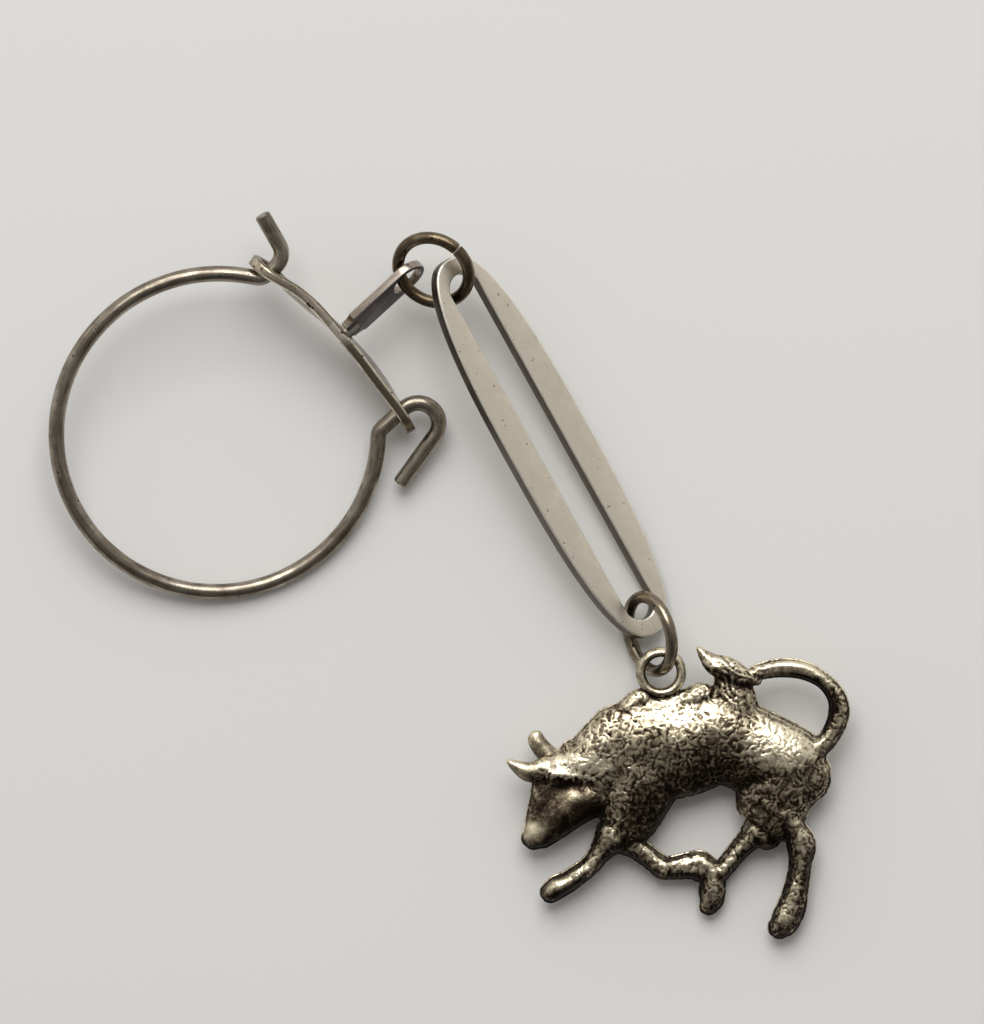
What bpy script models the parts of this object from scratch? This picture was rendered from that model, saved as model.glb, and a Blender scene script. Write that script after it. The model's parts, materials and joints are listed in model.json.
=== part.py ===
"""Bull keyring: a hooked spring-wire key ring closed by a T-shaped hasp, and a chain of a jump ring,
a slotted oval link, a second jump ring and a cast bull.

Metres, +Z up. The keyring lies on the plane z = 0 as it would on a table, with its origin at the
middle of its footprint. Each piece is modelled in its own frame, with its origin on its joint's
axis, and hangs on the piece before it: the ring carries the hasp bar, the bar the swivel shank, the
shank the upper jump ring, and so on down to the bull.
"""
import math

import bmesh
import bpy
from mathutils import Matrix, Vector

# Key ring: one length of spring wire, a circle with a hook at each end
WIRE_DIAMETER = 0.00148
RING_DIAMETER = 0.0293
RING_LEFT = -0.0212
RING_HEIGHT = 0.0130
RING_TILT = math.radians(10.5)
RING_TILT_HEADING = math.radians(24)
GAP_HEADING = math.radians(42.6)
UPPER_RUN_OUT = 0.0017
LOWER_RUN_OUT = 0.0008
BEND_RADIUS = 0.0011
UPPER_HOOK_RADIUS = 0.0016
UPPER_HOOK_REACH = 0.0020
UPPER_HOOK_LENGTH = 0.0045
UPPER_HOOK_TURN = math.radians(77)
LOWER_HOOK_RADIUS = 0.0019
LOWER_HOOK_TURN = math.radians(168)
LOWER_HOOK_LEG = 0.0055
WIRE_END_CHAMFER = 0.00015

# Hasp bar: a bowed strip on edge, with an eye near each end and the swivel's hole in the middle
EYE_SPAN = 0.0176
HASP_SHIFT = 0.0011
HASP_STAND_OFF = 0.0009
BAR_THICKNESS = 0.00095
BAR_WIDTH = 0.0042
BAR_END_MARGIN = 0.0021
BAR_BOW_RADIUS = 0.045
BAR_EDGE_RADIUS = 0.00032
BAR_TWIST = math.radians(3)
EYE_PLAY = 0.00112

# Swivel shank: a flat tongue with a necked pin, peened over in the bar's countersink
SHANK_LENGTH = 0.0090
SHANK_WIDTH = 0.0040
SHANK_THICKNESS = 0.00075
SHANK_EDGE_BEVEL = 0.00014
SHANK_FOOT_WIDTH = 0.0029
SHANK_FOOT_LENGTH = 0.0011
SHANK_EYE_PLAY = 0.00175
SHANK_EYE_WALL = 0.00055
SWIVEL_TURN = math.radians(60)
NECK_DIAMETER = 0.0014
RIVET_HEAD_DIAMETER = 0.0023
RIVET_HEAD_HEIGHT = 0.00038
SWIVEL_CLEARANCE = 0.0002

# Jump rings: round wire bent to a circle, with a butt seam
JUMP_WIRE_DIAMETER = 0.00115
UPPER_JUMP_DIAMETER = 0.0067
LOWER_JUMP_DIAMETER = 0.0069
JUMP_SEAM = 0.00012
UPPER_JUMP_HEADING = math.radians(-30.5)
UPPER_JUMP_TILT = math.radians(35)
UPPER_JUMP_SEAT = math.radians(235)
UPPER_JUMP_SEAM_AT = math.radians(75)
LOWER_JUMP_HEADING = math.radians(-75.5)
LOWER_JUMP_TILT = math.radians(58)
LOWER_JUMP_SEAT = math.radians(208.6)
LOWER_JUMP_SEAM_AT = math.radians(250)

# Oval link: a flat ellipse with a long slot
LINK_LENGTH = 0.0390
LINK_WIDTH = 0.0086
LINK_THICKNESS = 0.0014
LINK_BLUNTNESS = 2.7
SLOT_WIDTH = 0.00313
SLOT_END_WALL = 0.0016
LINK_EDGE_BEVEL = 0.00012
LINK_HEADING = math.radians(-60.95)
LINK_PITCH = math.radians(6.2)
LINK_ROLL = math.radians(27)
LINK_SEAT = math.radians(-12)

# Bull: one casting with its bail
BULL_LENGTH = 0.0315
BULL_HEIGHT = 0.0270
BULL_THICKNESS = 0.0046
BULL_TILT = math.radians(5.5)
BULL_SEAT = math.radians(5)
BAIL_HOLE_DIAMETER = 0.00275
BAIL_WALL = 0.00095
BAIL_THICKNESS = 0.0015
BAIL_LIFT = 0.0003
BULL_VOXEL = 0.00028
BULL_FACE_SHARE = 0.21

# Clearance between pieces that touch, and how far a cutter overruns what it cuts
FIT_CLEARANCE = 0.00025
CUT_OVERRUN = 0.001

# Facets
WIRE_SIDES = 12
JUMP_SIDES = 10
RING_STEP = math.radians(6)
BEND_STEP = math.radians(15)
JUMP_STEP = math.radians(10)
SLOT_END_STEPS = 12
SLOT_SIDE_STEPS = 24
LINK_END_TURN = math.radians(25)
BAR_SECTIONS = 27
BORE_SIDES = 24
CORNER_STEPS = 4
SHANK_END_STEPS = 8
BAIL_STEPS = 28
LIMB_SIDES = 12
LIMB_STEPS = 4

# Worked out from the sizes above
WIRE_RADIUS = WIRE_DIAMETER / 2
RING_RADIUS = RING_DIAMETER / 2
JUMP_WIRE_RADIUS = JUMP_WIRE_DIAMETER / 2
UPPER_JUMP_RADIUS = UPPER_JUMP_DIAMETER / 2
LOWER_JUMP_RADIUS = LOWER_JUMP_DIAMETER / 2
EYE_DIAMETER = WIRE_DIAMETER + EYE_PLAY
UPPER_EYE_Y = EYE_SPAN / 2 - HASP_SHIFT
LOWER_EYE_Y = -EYE_SPAN / 2 - HASP_SHIFT
BAR_BOW = BAR_BOW_RADIUS - math.sqrt(BAR_BOW_RADIUS ** 2 - (EYE_SPAN / 2) ** 2)
SHANK_EYE_DIAMETER = JUMP_WIRE_DIAMETER + SHANK_EYE_PLAY
SHANK_START = BAR_THICKNESS / 2 + FIT_CLEARANCE
SHANK_END = SHANK_START + SHANK_LENGTH
SHANK_EYE_X = SHANK_END - SHANK_EYE_WALL - SHANK_EYE_DIAMETER / 2
SLOT_HALF_LENGTH = LINK_LENGTH / 2 - SLOT_END_WALL

UP = Vector((0, 0, 1))


def clear_scene():
    for obj in list(bpy.data.objects):
        bpy.data.objects.remove(obj, do_unlink=True)


def material(name, colour, roughness, metallic):
    mat = bpy.data.materials.new(name)
    mat.use_nodes = True
    shader = mat.node_tree.nodes["Principled BSDF"]
    shader.inputs["Base Color"].default_value = (*colour, 1)
    shader.inputs["Roughness"].default_value = roughness
    shader.inputs["Metallic"].default_value = metallic
    mat.diffuse_color = (*colour, 1)
    return mat


def new_object(name, bm, mat, smooth_angle=math.radians(35)):
    """Turn a bmesh into a named object with its material, shaded smooth up to an angle."""
    bmesh.ops.recalc_face_normals(bm, faces=bm.faces)
    mesh = bpy.data.meshes.new(name)
    bm.to_mesh(mesh)
    bm.free()
    mesh.shade_smooth()
    mesh.set_sharp_from_angle(angle=smooth_angle)
    obj = bpy.data.objects.new(name, mesh)
    if mat:
        mesh.materials.append(mat)
    bpy.context.scene.collection.objects.link(obj)
    return obj


def frame(origin, x_axis, z_axis):
    """A right-handed frame with Z along z_axis and X as near x_axis as it can be."""
    z = Vector(z_axis).normalized()
    x = Vector(x_axis)
    x = (x - z * x.dot(z)).normalized()
    y = z.cross(x)
    matrix = Matrix((x, y, z)).transposed().to_4x4()
    matrix.translation = Vector(origin)
    return matrix


def heading_vector(angle):
    return Vector((math.cos(angle), math.sin(angle), 0))


def place(obj, parent, world):
    """Hang obj on parent and put it at a world frame."""
    obj.parent = parent
    obj.matrix_parent_inverse = PLACED[parent.name].inverted()
    obj.matrix_basis = world
    PLACED[obj.name] = world.copy()


PLACED = {}


def skin_rings(bm, rings, closed=False):
    """Join rings of vertices into a tube, with a face on each end of an open one."""
    verts = [[bm.verts.new(point) for point in ring] for ring in rings]
    count = len(verts[0])
    pairs = list(zip(verts, verts[1:]))
    if closed:
        pairs.append((verts[-1], verts[0]))
    for near, far in pairs:
        for i in range(count):
            j = (i + 1) % count
            bm.faces.new((near[i], near[j], far[j], far[i]))
    if not closed:
        bm.faces.new(list(reversed(verts[0])))
        bm.faces.new(verts[-1])


def flat_wire(points, radius, sides, chamfer):
    """Round wire along points in the XY plane, its two ends chamfered."""
    bm = bmesh.new()
    path = [Vector((x, y, 0)) for x, y in points]
    start = (path[0] - path[1]).normalized()
    end = (path[-1] - path[-2]).normalized()
    stations = [(path[0], radius - chamfer), (path[0] - start * chamfer, radius)]
    stations += [(p, radius) for p in path[1:-1]]
    stations += [(path[-1] - end * chamfer, radius), (path[-1], radius - chamfer)]
    rings = []
    for i, (p, r) in enumerate(stations):
        if i < 2:
            along = -start
        elif i > len(stations) - 3:
            along = end
        else:
            along = (stations[i + 1][0] - stations[i - 1][0]).normalized()
        side = UP.cross(along)
        turns = [math.tau * k / sides for k in range(sides)]
        rings.append([p + side * (r * math.cos(t)) + UP * (r * math.sin(t)) for t in turns])
    skin_rings(bm, rings)
    return bm


def arc_points(centre, radius, start, end, step):
    count = max(2, math.ceil(abs(end - start) / step))
    angles = [start + (end - start) * i / count for i in range(count + 1)]
    return [centre + heading_vector(a) * radius for a in angles]


def rounded_corner(before, corner, after, radius):
    """The arc that rounds a corner between two straight runs."""
    into = (corner - before).normalized()
    out = (after - corner).normalized()
    turn = into.angle(out)
    side = 1 if into.cross(out).z > 0 else -1
    start = corner - into * radius * math.tan(turn / 2)
    centre = start + UP.cross(into) * radius * side
    first = math.atan2(start.y - centre.y, start.x - centre.x)
    return arc_points(centre, radius, first, first + side * turn, BEND_STEP)


def run_out(eye_y, run):
    """Where the wire leaves the circle, and the corner where it turns square to the hasp.

    The wire leaves along the tangent for a run, and then turns to pass through the eye.
    """
    hypotenuse = math.hypot(RING_RADIUS, run)
    angle = math.asin(abs(eye_y) / hypotenuse) + math.atan2(run, RING_RADIUS)
    corner_x = RING_RADIUS * math.cos(angle) + run * math.sin(angle)
    return angle, Vector((corner_x, eye_y, 0))


def key_ring_points():
    """The ring's centreline from the upper hook's tip round to the lower hook's tip.

    X points from the ring's middle out through its gap.
    """
    upper_angle, upper_corner = run_out(UPPER_EYE_Y, UPPER_RUN_OUT)
    lower_angle, lower_corner = run_out(LOWER_EYE_Y, LOWER_RUN_OUT)
    eye_x = upper_corner.x + HASP_STAND_OFF

    hook_corner = Vector((eye_x + UPPER_HOOK_REACH, UPPER_EYE_Y, 0))
    hook_tip = hook_corner + heading_vector(UPPER_HOOK_TURN) * UPPER_HOOK_LENGTH
    upper_leave = heading_vector(upper_angle) * RING_RADIUS
    points = [hook_tip]
    points += rounded_corner(hook_tip, hook_corner, upper_corner, UPPER_HOOK_RADIUS)
    points += rounded_corner(hook_corner, upper_corner, upper_leave, BEND_RADIUS)

    circle = arc_points(Vector(), RING_RADIUS, upper_angle, math.tau - lower_angle, RING_STEP)
    points += circle

    turn_start = Vector((eye_x + BAR_THICKNESS / 2, LOWER_EYE_Y, 0))
    bend = rounded_corner(circle[-1], lower_corner, turn_start, BEND_RADIUS)
    points += bend[1:]
    hook_centre = turn_start - Vector((0, LOWER_HOOK_RADIUS, 0))
    quarter = math.radians(90)
    points += arc_points(hook_centre, LOWER_HOOK_RADIUS, quarter, quarter - LOWER_HOOK_TURN, BEND_STEP)
    points.append(points[-1] + heading_vector(-LOWER_HOOK_TURN) * LOWER_HOOK_LEG)
    return [(p.x, p.y) for p in points], eye_x


def cutter(name, bm, parent, world):
    obj = new_object(name, bm, None)
    obj.hide_render = True
    obj.display_type = 'WIRE'
    place(obj, parent, world)
    return obj


def boolean(obj, other, operation):
    modifier = obj.modifiers.new(other.name, 'BOOLEAN')
    modifier.object = other
    modifier.operation = operation
    modifier.solver = 'EXACT'


def turned(profile, sides):
    """A solid turned about X from (x, radius) pairs that run from one end to the other."""
    bm = bmesh.new()
    turns = [math.tau * k / sides for k in range(sides)]
    rings = [[Vector((x, r * math.cos(t), r * math.sin(t))) for t in turns] for x, r in profile]
    skin_rings(bm, rings)
    return bm


def hasp_bar_mesh():
    """The strip on edge: X through its thickness, Y along it, Z across its width."""
    bm = bmesh.new()
    half_length = EYE_SPAN / 2 + BAR_END_MARGIN
    end_radius = BAR_WIDTH / 2
    straight = half_length - end_radius
    rings = []
    for i in range(BAR_SECTIONS):
        turn = math.pi * (i / (BAR_SECTIONS - 1) - 1 / 2)
        reach = half_length * math.sin(turn)
        past = max(0, abs(reach) - straight)
        half_width = math.sqrt(max(end_radius ** 2 - past ** 2, BAR_EDGE_RADIUS ** 2))
        corner = min(BAR_EDGE_RADIUS, half_width - BAR_EDGE_RADIUS / 2)
        bend = reach / BAR_BOW_RADIUS
        twist = -BAR_TWIST * reach / half_length
        radial = heading_vector(bend)
        across = UP * math.cos(twist) + radial * math.sin(twist)
        outward = radial * math.cos(twist) - UP * math.sin(twist)
        centre = Vector((BAR_BOW - BAR_BOW_RADIUS, 0, 0)) + radial * BAR_BOW_RADIUS
        ring = []
        for sign_out, sign_up, first in ((1, -1, -90), (1, 1, 0), (-1, 1, 90), (-1, -1, 180)):
            for degrees in (0, 45, 90):
                a = math.radians(first + degrees)
                out = sign_out * (BAR_THICKNESS / 2 - corner) + corner * math.cos(a)
                up = sign_up * (half_width - corner) + corner * math.sin(a)
                ring.append(centre + outward * out + across * up)
        rings.append(ring)
    skin_rings(bm, rings)
    return bm


def eye_frame(side):
    """A frame in the hasp bar's own frame, with X along an eye's axis."""
    bend = side * math.asin(EYE_SPAN / 2 / BAR_BOW_RADIUS)
    return frame((0, side * EYE_SPAN / 2, 0), heading_vector(bend), UP)


def countersunk_profile(clearance):
    """The swivel pin from its peened head to its neck, grown by a clearance."""
    inner = -BAR_THICKNESS / 2
    head = RIVET_HEAD_DIAMETER / 2 + clearance
    neck = NECK_DIAMETER / 2 + clearance
    return [(inner, head), (inner + RIVET_HEAD_HEIGHT, neck)]


def shank_outline():
    """Half the tongue's outline, from its foot to its round end, as (x, y)."""
    foot = SHANK_FOOT_WIDTH / 2
    half = SHANK_WIDTH / 2
    wall = SHANK_EYE_DIAMETER / 2 + SHANK_EYE_WALL
    points = [(SHANK_START, foot)]
    for i in range(1, CORNER_STEPS + 1):
        turn = math.radians(90) * i / CORNER_STEPS
        x = SHANK_START + SHANK_FOOT_LENGTH * math.sin(turn)
        points.append((x, foot + (half - foot) * (1 - math.cos(turn))))
    for i in range(SHANK_END_STEPS + 1):
        turn = math.radians(90) * i / SHANK_END_STEPS
        points.append((SHANK_EYE_X + wall * math.sin(turn), half * math.cos(turn)))
    return points


def extruded(outline, thickness):
    """A plate from a closed outline in XY, centred on Z = 0."""
    bm = bmesh.new()
    low = [bm.verts.new((x, y, -thickness / 2)) for x, y in outline]
    high = [bm.verts.new((x, y, thickness / 2)) for x, y in outline]
    count = len(outline)
    bm.faces.new(high)
    bm.faces.new(list(reversed(low)))
    for i in range(count):
        j = (i + 1) % count
        bm.faces.new((low[i], low[j], high[j], high[i]))
    return bm


def add_bevel(obj, width, segments=2):
    bevel = obj.modifiers.new("edge", 'BEVEL')
    bevel.width = width
    bevel.segments = segments
    bevel.limit_method = 'ANGLE'
    bevel.angle_limit = math.radians(50)


def jump_ring_mesh(radius, seat, seam_at):
    """A split ring in the XY plane whose wire passes through the origin at the seat angle."""
    half_seam = JUMP_SEAM / 2 / radius
    centre = -heading_vector(seat) * radius
    start = seam_at + half_seam
    points = arc_points(centre, radius, start, seam_at + math.tau - half_seam, JUMP_STEP)
    return flat_wire([(p.x, p.y) for p in points], JUMP_WIRE_RADIUS, JUMP_SIDES, JUMP_SEAM / 2)


def tilted_ring_frame(origin, heading, tilt):
    """A ring's frame: X level at a heading, and the ring tilted about it."""
    x_axis = heading_vector(heading)
    normal = Matrix.Rotation(tilt, 3, x_axis) @ UP
    return frame(origin, x_axis, normal)


def slot_outline():
    """The slot's outline: two straight sides of even steps and two half-round ends."""
    radius = SLOT_WIDTH / 2
    straight = SLOT_HALF_LENGTH - radius
    points = []
    for side in (1, -1):
        for k in range(SLOT_END_STEPS + 1):
            turn = side * math.pi * (k / SLOT_END_STEPS - 1 / 2)
            points.append((side * (straight + radius * math.cos(turn)), radius * math.sin(turn)))
        for k in range(1, SLOT_SIDE_STEPS):
            points.append((side * straight * (1 - 2 * k / SLOT_SIDE_STEPS), side * radius))
    return points


def link_outline():
    """The link's blunt oval, with a point abreast of each point of the slot's outline."""
    points = []
    radius = SLOT_WIDTH / 2
    straight = SLOT_HALF_LENGTH - radius
    power = 2 / LINK_BLUNTNESS
    for x, y in slot_outline():
        if abs(x) > straight:
            c = (abs(x) - straight) / radius
            s = abs(y) / radius
            turn = LINK_END_TURN * (1 - math.atan2(c, s) / math.radians(90))
        else:
            turn = LINK_END_TURN + (math.radians(90) - LINK_END_TURN) * (1 - abs(x) / straight)
        out_x = LINK_LENGTH / 2 * math.cos(turn) ** power
        out_y = LINK_WIDTH / 2 * math.sin(turn) ** power
        points.append((math.copysign(out_x, x), math.copysign(out_y, y)))
    return points


def link_mesh():
    """The oval link centred on its own middle: X along it, Y across it."""
    bm = bmesh.new()
    outline = link_outline()
    slot = slot_outline()
    loops = []
    for z in (LINK_THICKNESS / 2, -LINK_THICKNESS / 2):
        outer = [bm.verts.new((x, y, z)) for x, y in outline]
        inner = [bm.verts.new((x, y, z)) for x, y in slot]
        loops.append((outer, inner))
    (top_outer, top_inner), (low_outer, low_inner) = loops
    for k in range(len(outline)):
        j = (k + 1) % len(outline)
        bm.faces.new((top_outer[k], top_outer[j], top_inner[j], top_inner[k]))
        bm.faces.new((low_outer[j], low_outer[k], low_inner[k], low_inner[j]))
        bm.faces.new((top_outer[j], top_outer[k], low_outer[k], low_outer[j]))
        bm.faces.new((top_inner[k], top_inner[j], low_inner[j], low_inner[k]))
    return bm


# The bull's forms. Each is a path of (x, y, half width, half depth) shares: x of the bull's length,
# y of its height, both from the lower left corner of its outline, the half width of its length and
# the half depth of its thickness. A form's last number shifts it in depth, as a share of thickness.
TRUNK_SHARE = (
    ((0.244, 0.573, 0.115, 0.36), (0.322, 0.600, 0.144, 0.43), (0.409, 0.641, 0.156, 0.48),
     (0.516, 0.654, 0.147, 0.50), (0.608, 0.685, 0.136, 0.46), (0.677, 0.661, 0.130, 0.44),
     (0.741, 0.627, 0.130, 0.46), (0.816, 0.587, 0.124, 0.46), (0.839, 0.560, 0.107, 0.40)), 0)
NECK_SHARE = (
    ((0.158, 0.560, 0.072, 0.33), (0.195, 0.576, 0.078, 0.36), (0.244, 0.600, 0.092, 0.40),
     (0.291, 0.637, 0.104, 0.40), (0.337, 0.675, 0.115, 0.38)), 0)
THIGH_SHARE = (
    ((0.813, 0.600, 0.118, 0.44), (0.778, 0.488, 0.118, 0.46), (0.770, 0.401, 0.092, 0.40),
     (0.755, 0.363, 0.052, 0.32)), 0)
SHOULDER_SHARE = (
    ((0.397, 0.590, 0.139, 0.48), (0.369, 0.472, 0.110, 0.48), (0.345, 0.390, 0.087, 0.42),
     (0.328, 0.350, 0.052, 0.34)), 0)
HEAD_SHARE = (
    ((0.167, 0.573, 0.061, 0.30), (0.158, 0.512, 0.087, 0.33), (0.129, 0.441, 0.069, 0.31),
     (0.103, 0.380, 0.055, 0.28), (0.083, 0.350, 0.040, 0.26)), 0)
CHEEK_SHARE = (
    ((0.256, 0.485, 0.061, 0.38), (0.198, 0.458, 0.066, 0.41), (0.138, 0.404, 0.052, 0.38),
     (0.097, 0.360, 0.038, 0.32)), 0.02)
BROW_SHARE = (
    ((0.117, 0.573, 0.020, 0.17), (0.187, 0.563, 0.020, 0.17), (0.250, 0.560, 0.023, 0.17),
     (0.276, 0.522, 0.020, 0.14)), 0.22)
NEAR_HORN_SHARE = (
    ((0.123, 0.587, 0.035, 0.20), (0.074, 0.573, 0.032, 0.18), (0.037, 0.590, 0.022, 0.15),
     (0.011, 0.609, 0.010, 0.09)), 0.16)
FAR_HORN_SHARE = (
    ((0.143, 0.607, 0.032, 0.19), (0.109, 0.644, 0.029, 0.17), (0.091, 0.675, 0.027, 0.15),
     (0.090, 0.686, 0.023, 0.13)), -0.12)
FRONT_LEG_SHARE = (
    ((0.311, 0.357, 0.058, 0.36), (0.273, 0.296, 0.036, 0.28), (0.242, 0.252, 0.033, 0.26),
     (0.187, 0.204, 0.035, 0.25), (0.155, 0.184, 0.038, 0.26), (0.132, 0.164, 0.035, 0.24)), 0.06)
BENT_LEG_SHARE = (
    ((0.331, 0.357, 0.058, 0.36), (0.380, 0.313, 0.038, 0.28), (0.423, 0.275, 0.035, 0.26),
     (0.458, 0.245, 0.038, 0.27)), -0.02)
BENT_SHIN_SHARE = (
    ((0.446, 0.245, 0.032, 0.25), (0.487, 0.245, 0.038, 0.25), (0.533, 0.252, 0.043, 0.27),
     (0.562, 0.250, 0.049, 0.27), (0.597, 0.235, 0.038, 0.26)), -0.06)
BENT_HOOF_SHARE = (
    ((0.599, 0.235, 0.035, 0.25), (0.599, 0.187, 0.042, 0.26), (0.597, 0.140, 0.040, 0.25),
     (0.589, 0.116, 0.032, 0.20)), -0.06)
INNER_HIND_LEG_SHARE = (
    ((0.729, 0.370, 0.052, 0.36), (0.700, 0.336, 0.038, 0.29), (0.666, 0.292, 0.033, 0.26),
     (0.625, 0.231, 0.032, 0.25)), -0.08)
HIND_LEG_SHARE = (
    ((0.804, 0.438, 0.052, 0.40), (0.833, 0.384, 0.039, 0.32), (0.855, 0.326, 0.046, 0.30),
     (0.852, 0.258, 0.036, 0.27), (0.840, 0.174, 0.039, 0.27), (0.825, 0.106, 0.046, 0.28),
     (0.804, 0.059, 0.045, 0.27), (0.793, 0.045, 0.038, 0.22)), 0.06)
TAIL_SHARE = (
    ((0.874, 0.627, 0.038, 0.30), (0.923, 0.671, 0.032, 0.25), (0.952, 0.722, 0.032, 0.21),
     (0.964, 0.773, 0.033, 0.20), (0.956, 0.827, 0.030, 0.19), (0.920, 0.879, 0.027, 0.19),
     (0.862, 0.915, 0.030, 0.19), (0.793, 0.923, 0.030, 0.20), (0.726, 0.908, 0.026, 0.21)), 0)
TUFT_SHARE = (
    ((0.726, 0.881, 0.017, 0.17), (0.683, 0.893, 0.033, 0.24), (0.640, 0.918, 0.039, 0.26),
     (0.602, 0.937, 0.032, 0.24), (0.576, 0.964, 0.020, 0.18), (0.558, 0.989, 0.009, 0.11)), 0.04)
TUFT_ROOT_SHARE = (
    ((0.663, 0.763, 0.075, 0.34), (0.657, 0.830, 0.069, 0.28), (0.654, 0.871, 0.055, 0.24)), 0)
BAIL_FOOT_SHARE = (
    ((0.348, 0.776, 0.040, 0.26), (0.389, 0.817, 0.039, 0.22), (0.415, 0.800, 0.035, 0.20),
     (0.449, 0.793, 0.035, 0.20), (0.504, 0.803, 0.043, 0.22), (0.568, 0.827, 0.049, 0.26)), 0)
BULL_FORMS_SHARE = (
    TRUNK_SHARE, NECK_SHARE, THIGH_SHARE, SHOULDER_SHARE, HEAD_SHARE, CHEEK_SHARE, BROW_SHARE,
    NEAR_HORN_SHARE, FAR_HORN_SHARE, FRONT_LEG_SHARE, BENT_LEG_SHARE, BENT_SHIN_SHARE,
    BENT_HOOF_SHARE, INNER_HIND_LEG_SHARE, HIND_LEG_SHARE, TAIL_SHARE, TUFT_SHARE, TUFT_ROOT_SHARE,
    BAIL_FOOT_SHARE)
BAIL_CENTRE_SHARE = (0.450, 0.909)
# A domed cap's rings: how far past the path's end, and how wide, as shares of the half width
DOME_SHARES = ((0.42, 0.91), (0.77, 0.64), (0.94, 0.34))


def smooth_path(stations):
    """Catmull-Rom steps between stations of any number of values."""
    path = []
    last = len(stations) - 1
    for i in range(last):
        before = stations[max(i - 1, 0)]
        here = stations[i]
        after = stations[i + 1]
        beyond = stations[min(i + 2, last)]
        for step in range(LIMB_STEPS):
            t = step / LIMB_STEPS
            values = []
            for p0, p1, p2, p3 in zip(before, here, after, beyond):
                slope = (p2 - p0) * t
                curve = (2 * p0 - 5 * p1 + 4 * p2 - p3) * t ** 2
                turn = (3 * p1 - p0 - 3 * p2 + p3) * t ** 3
                values.append((2 * p1 + slope + curve + turn) / 2)
            path.append(tuple(values))
    path.append(stations[-1])
    return path


def add_limb(bm, shares, depth_share):
    """One rounded form of the bull along a path, oval in section, with a domed cap on each end."""
    stations = smooth_path([(x * BULL_LENGTH, y * BULL_HEIGHT, w * BULL_LENGTH, d * BULL_THICKNESS)
                            for x, y, w, d in shares])
    shift = depth_share * BULL_THICKNESS
    rings = []
    last = len(stations) - 1
    for i, (x, y, width, depth) in enumerate(stations):
        before = stations[max(i - 1, 0)]
        after = stations[min(i + 1, last)]
        along = Vector((after[0] - before[0], after[1] - before[1], 0)).normalized()
        caps = [(0, 1)]
        if i == 0:
            caps = [(-reach, swell) for reach, swell in reversed(DOME_SHARES)] + caps
        elif i == last:
            caps += DOME_SHARES
        for reach, swell in caps:
            centre = Vector((x, y, shift)) + along * (width * reach)
            side = UP.cross(along)
            ring = []
            for k in range(LIMB_SIDES):
                turn = math.tau * k / LIMB_SIDES
                ring.append(centre + side * (width * swell * math.cos(turn))
                            + UP * (depth * swell * math.sin(turn)))
            rings.append(ring)
    skin_rings(bm, rings)


def add_bail(bm):
    """The casting's loop, a flattened ring that stands a little proud of the casting's middle."""
    centre = Vector((BAIL_CENTRE_SHARE[0] * BULL_LENGTH, BAIL_CENTRE_SHARE[1] * BULL_HEIGHT, BAIL_LIFT))
    middle = (BAIL_HOLE_DIAMETER + BAIL_WALL) / 2
    rings = []
    for i in range(BAIL_STEPS):
        out = heading_vector(math.tau * i / BAIL_STEPS)
        ring = []
        for k in range(LIMB_SIDES):
            turn = math.tau * k / LIMB_SIDES
            radius = middle + BAIL_WALL / 2 * math.cos(turn)
            ring.append(centre + out * radius + UP * (BAIL_THICKNESS / 2 * math.sin(turn)))
        rings.append(ring)
    skin_rings(bm, rings, closed=True)
    return centre


def bull_mesh(drop):
    """All the bull's forms, with the middle of the bail's hole a drop below the origin."""
    bm = bmesh.new()
    for shares, depth_share in BULL_FORMS_SHARE:
        add_limb(bm, shares, depth_share)
    centre = add_bail(bm)
    bmesh.ops.translate(bm, verts=bm.verts, vec=Vector((0, -drop, 0)) - centre)
    return bm


def merge_forms(obj):
    """Fuse the overlapping forms into one casting skin and thin its facets."""
    fuse = obj.modifiers.new("fuse", 'REMESH')
    fuse.mode = 'VOXEL'
    fuse.voxel_size = BULL_VOXEL
    fuse.adaptivity = 0
    relax = obj.modifiers.new("relax", 'SMOOTH')
    relax.factor = 0.5
    relax.iterations = 3
    thin = obj.modifiers.new("thin", 'DECIMATE')
    thin.ratio = BULL_FACE_SHARE


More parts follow.
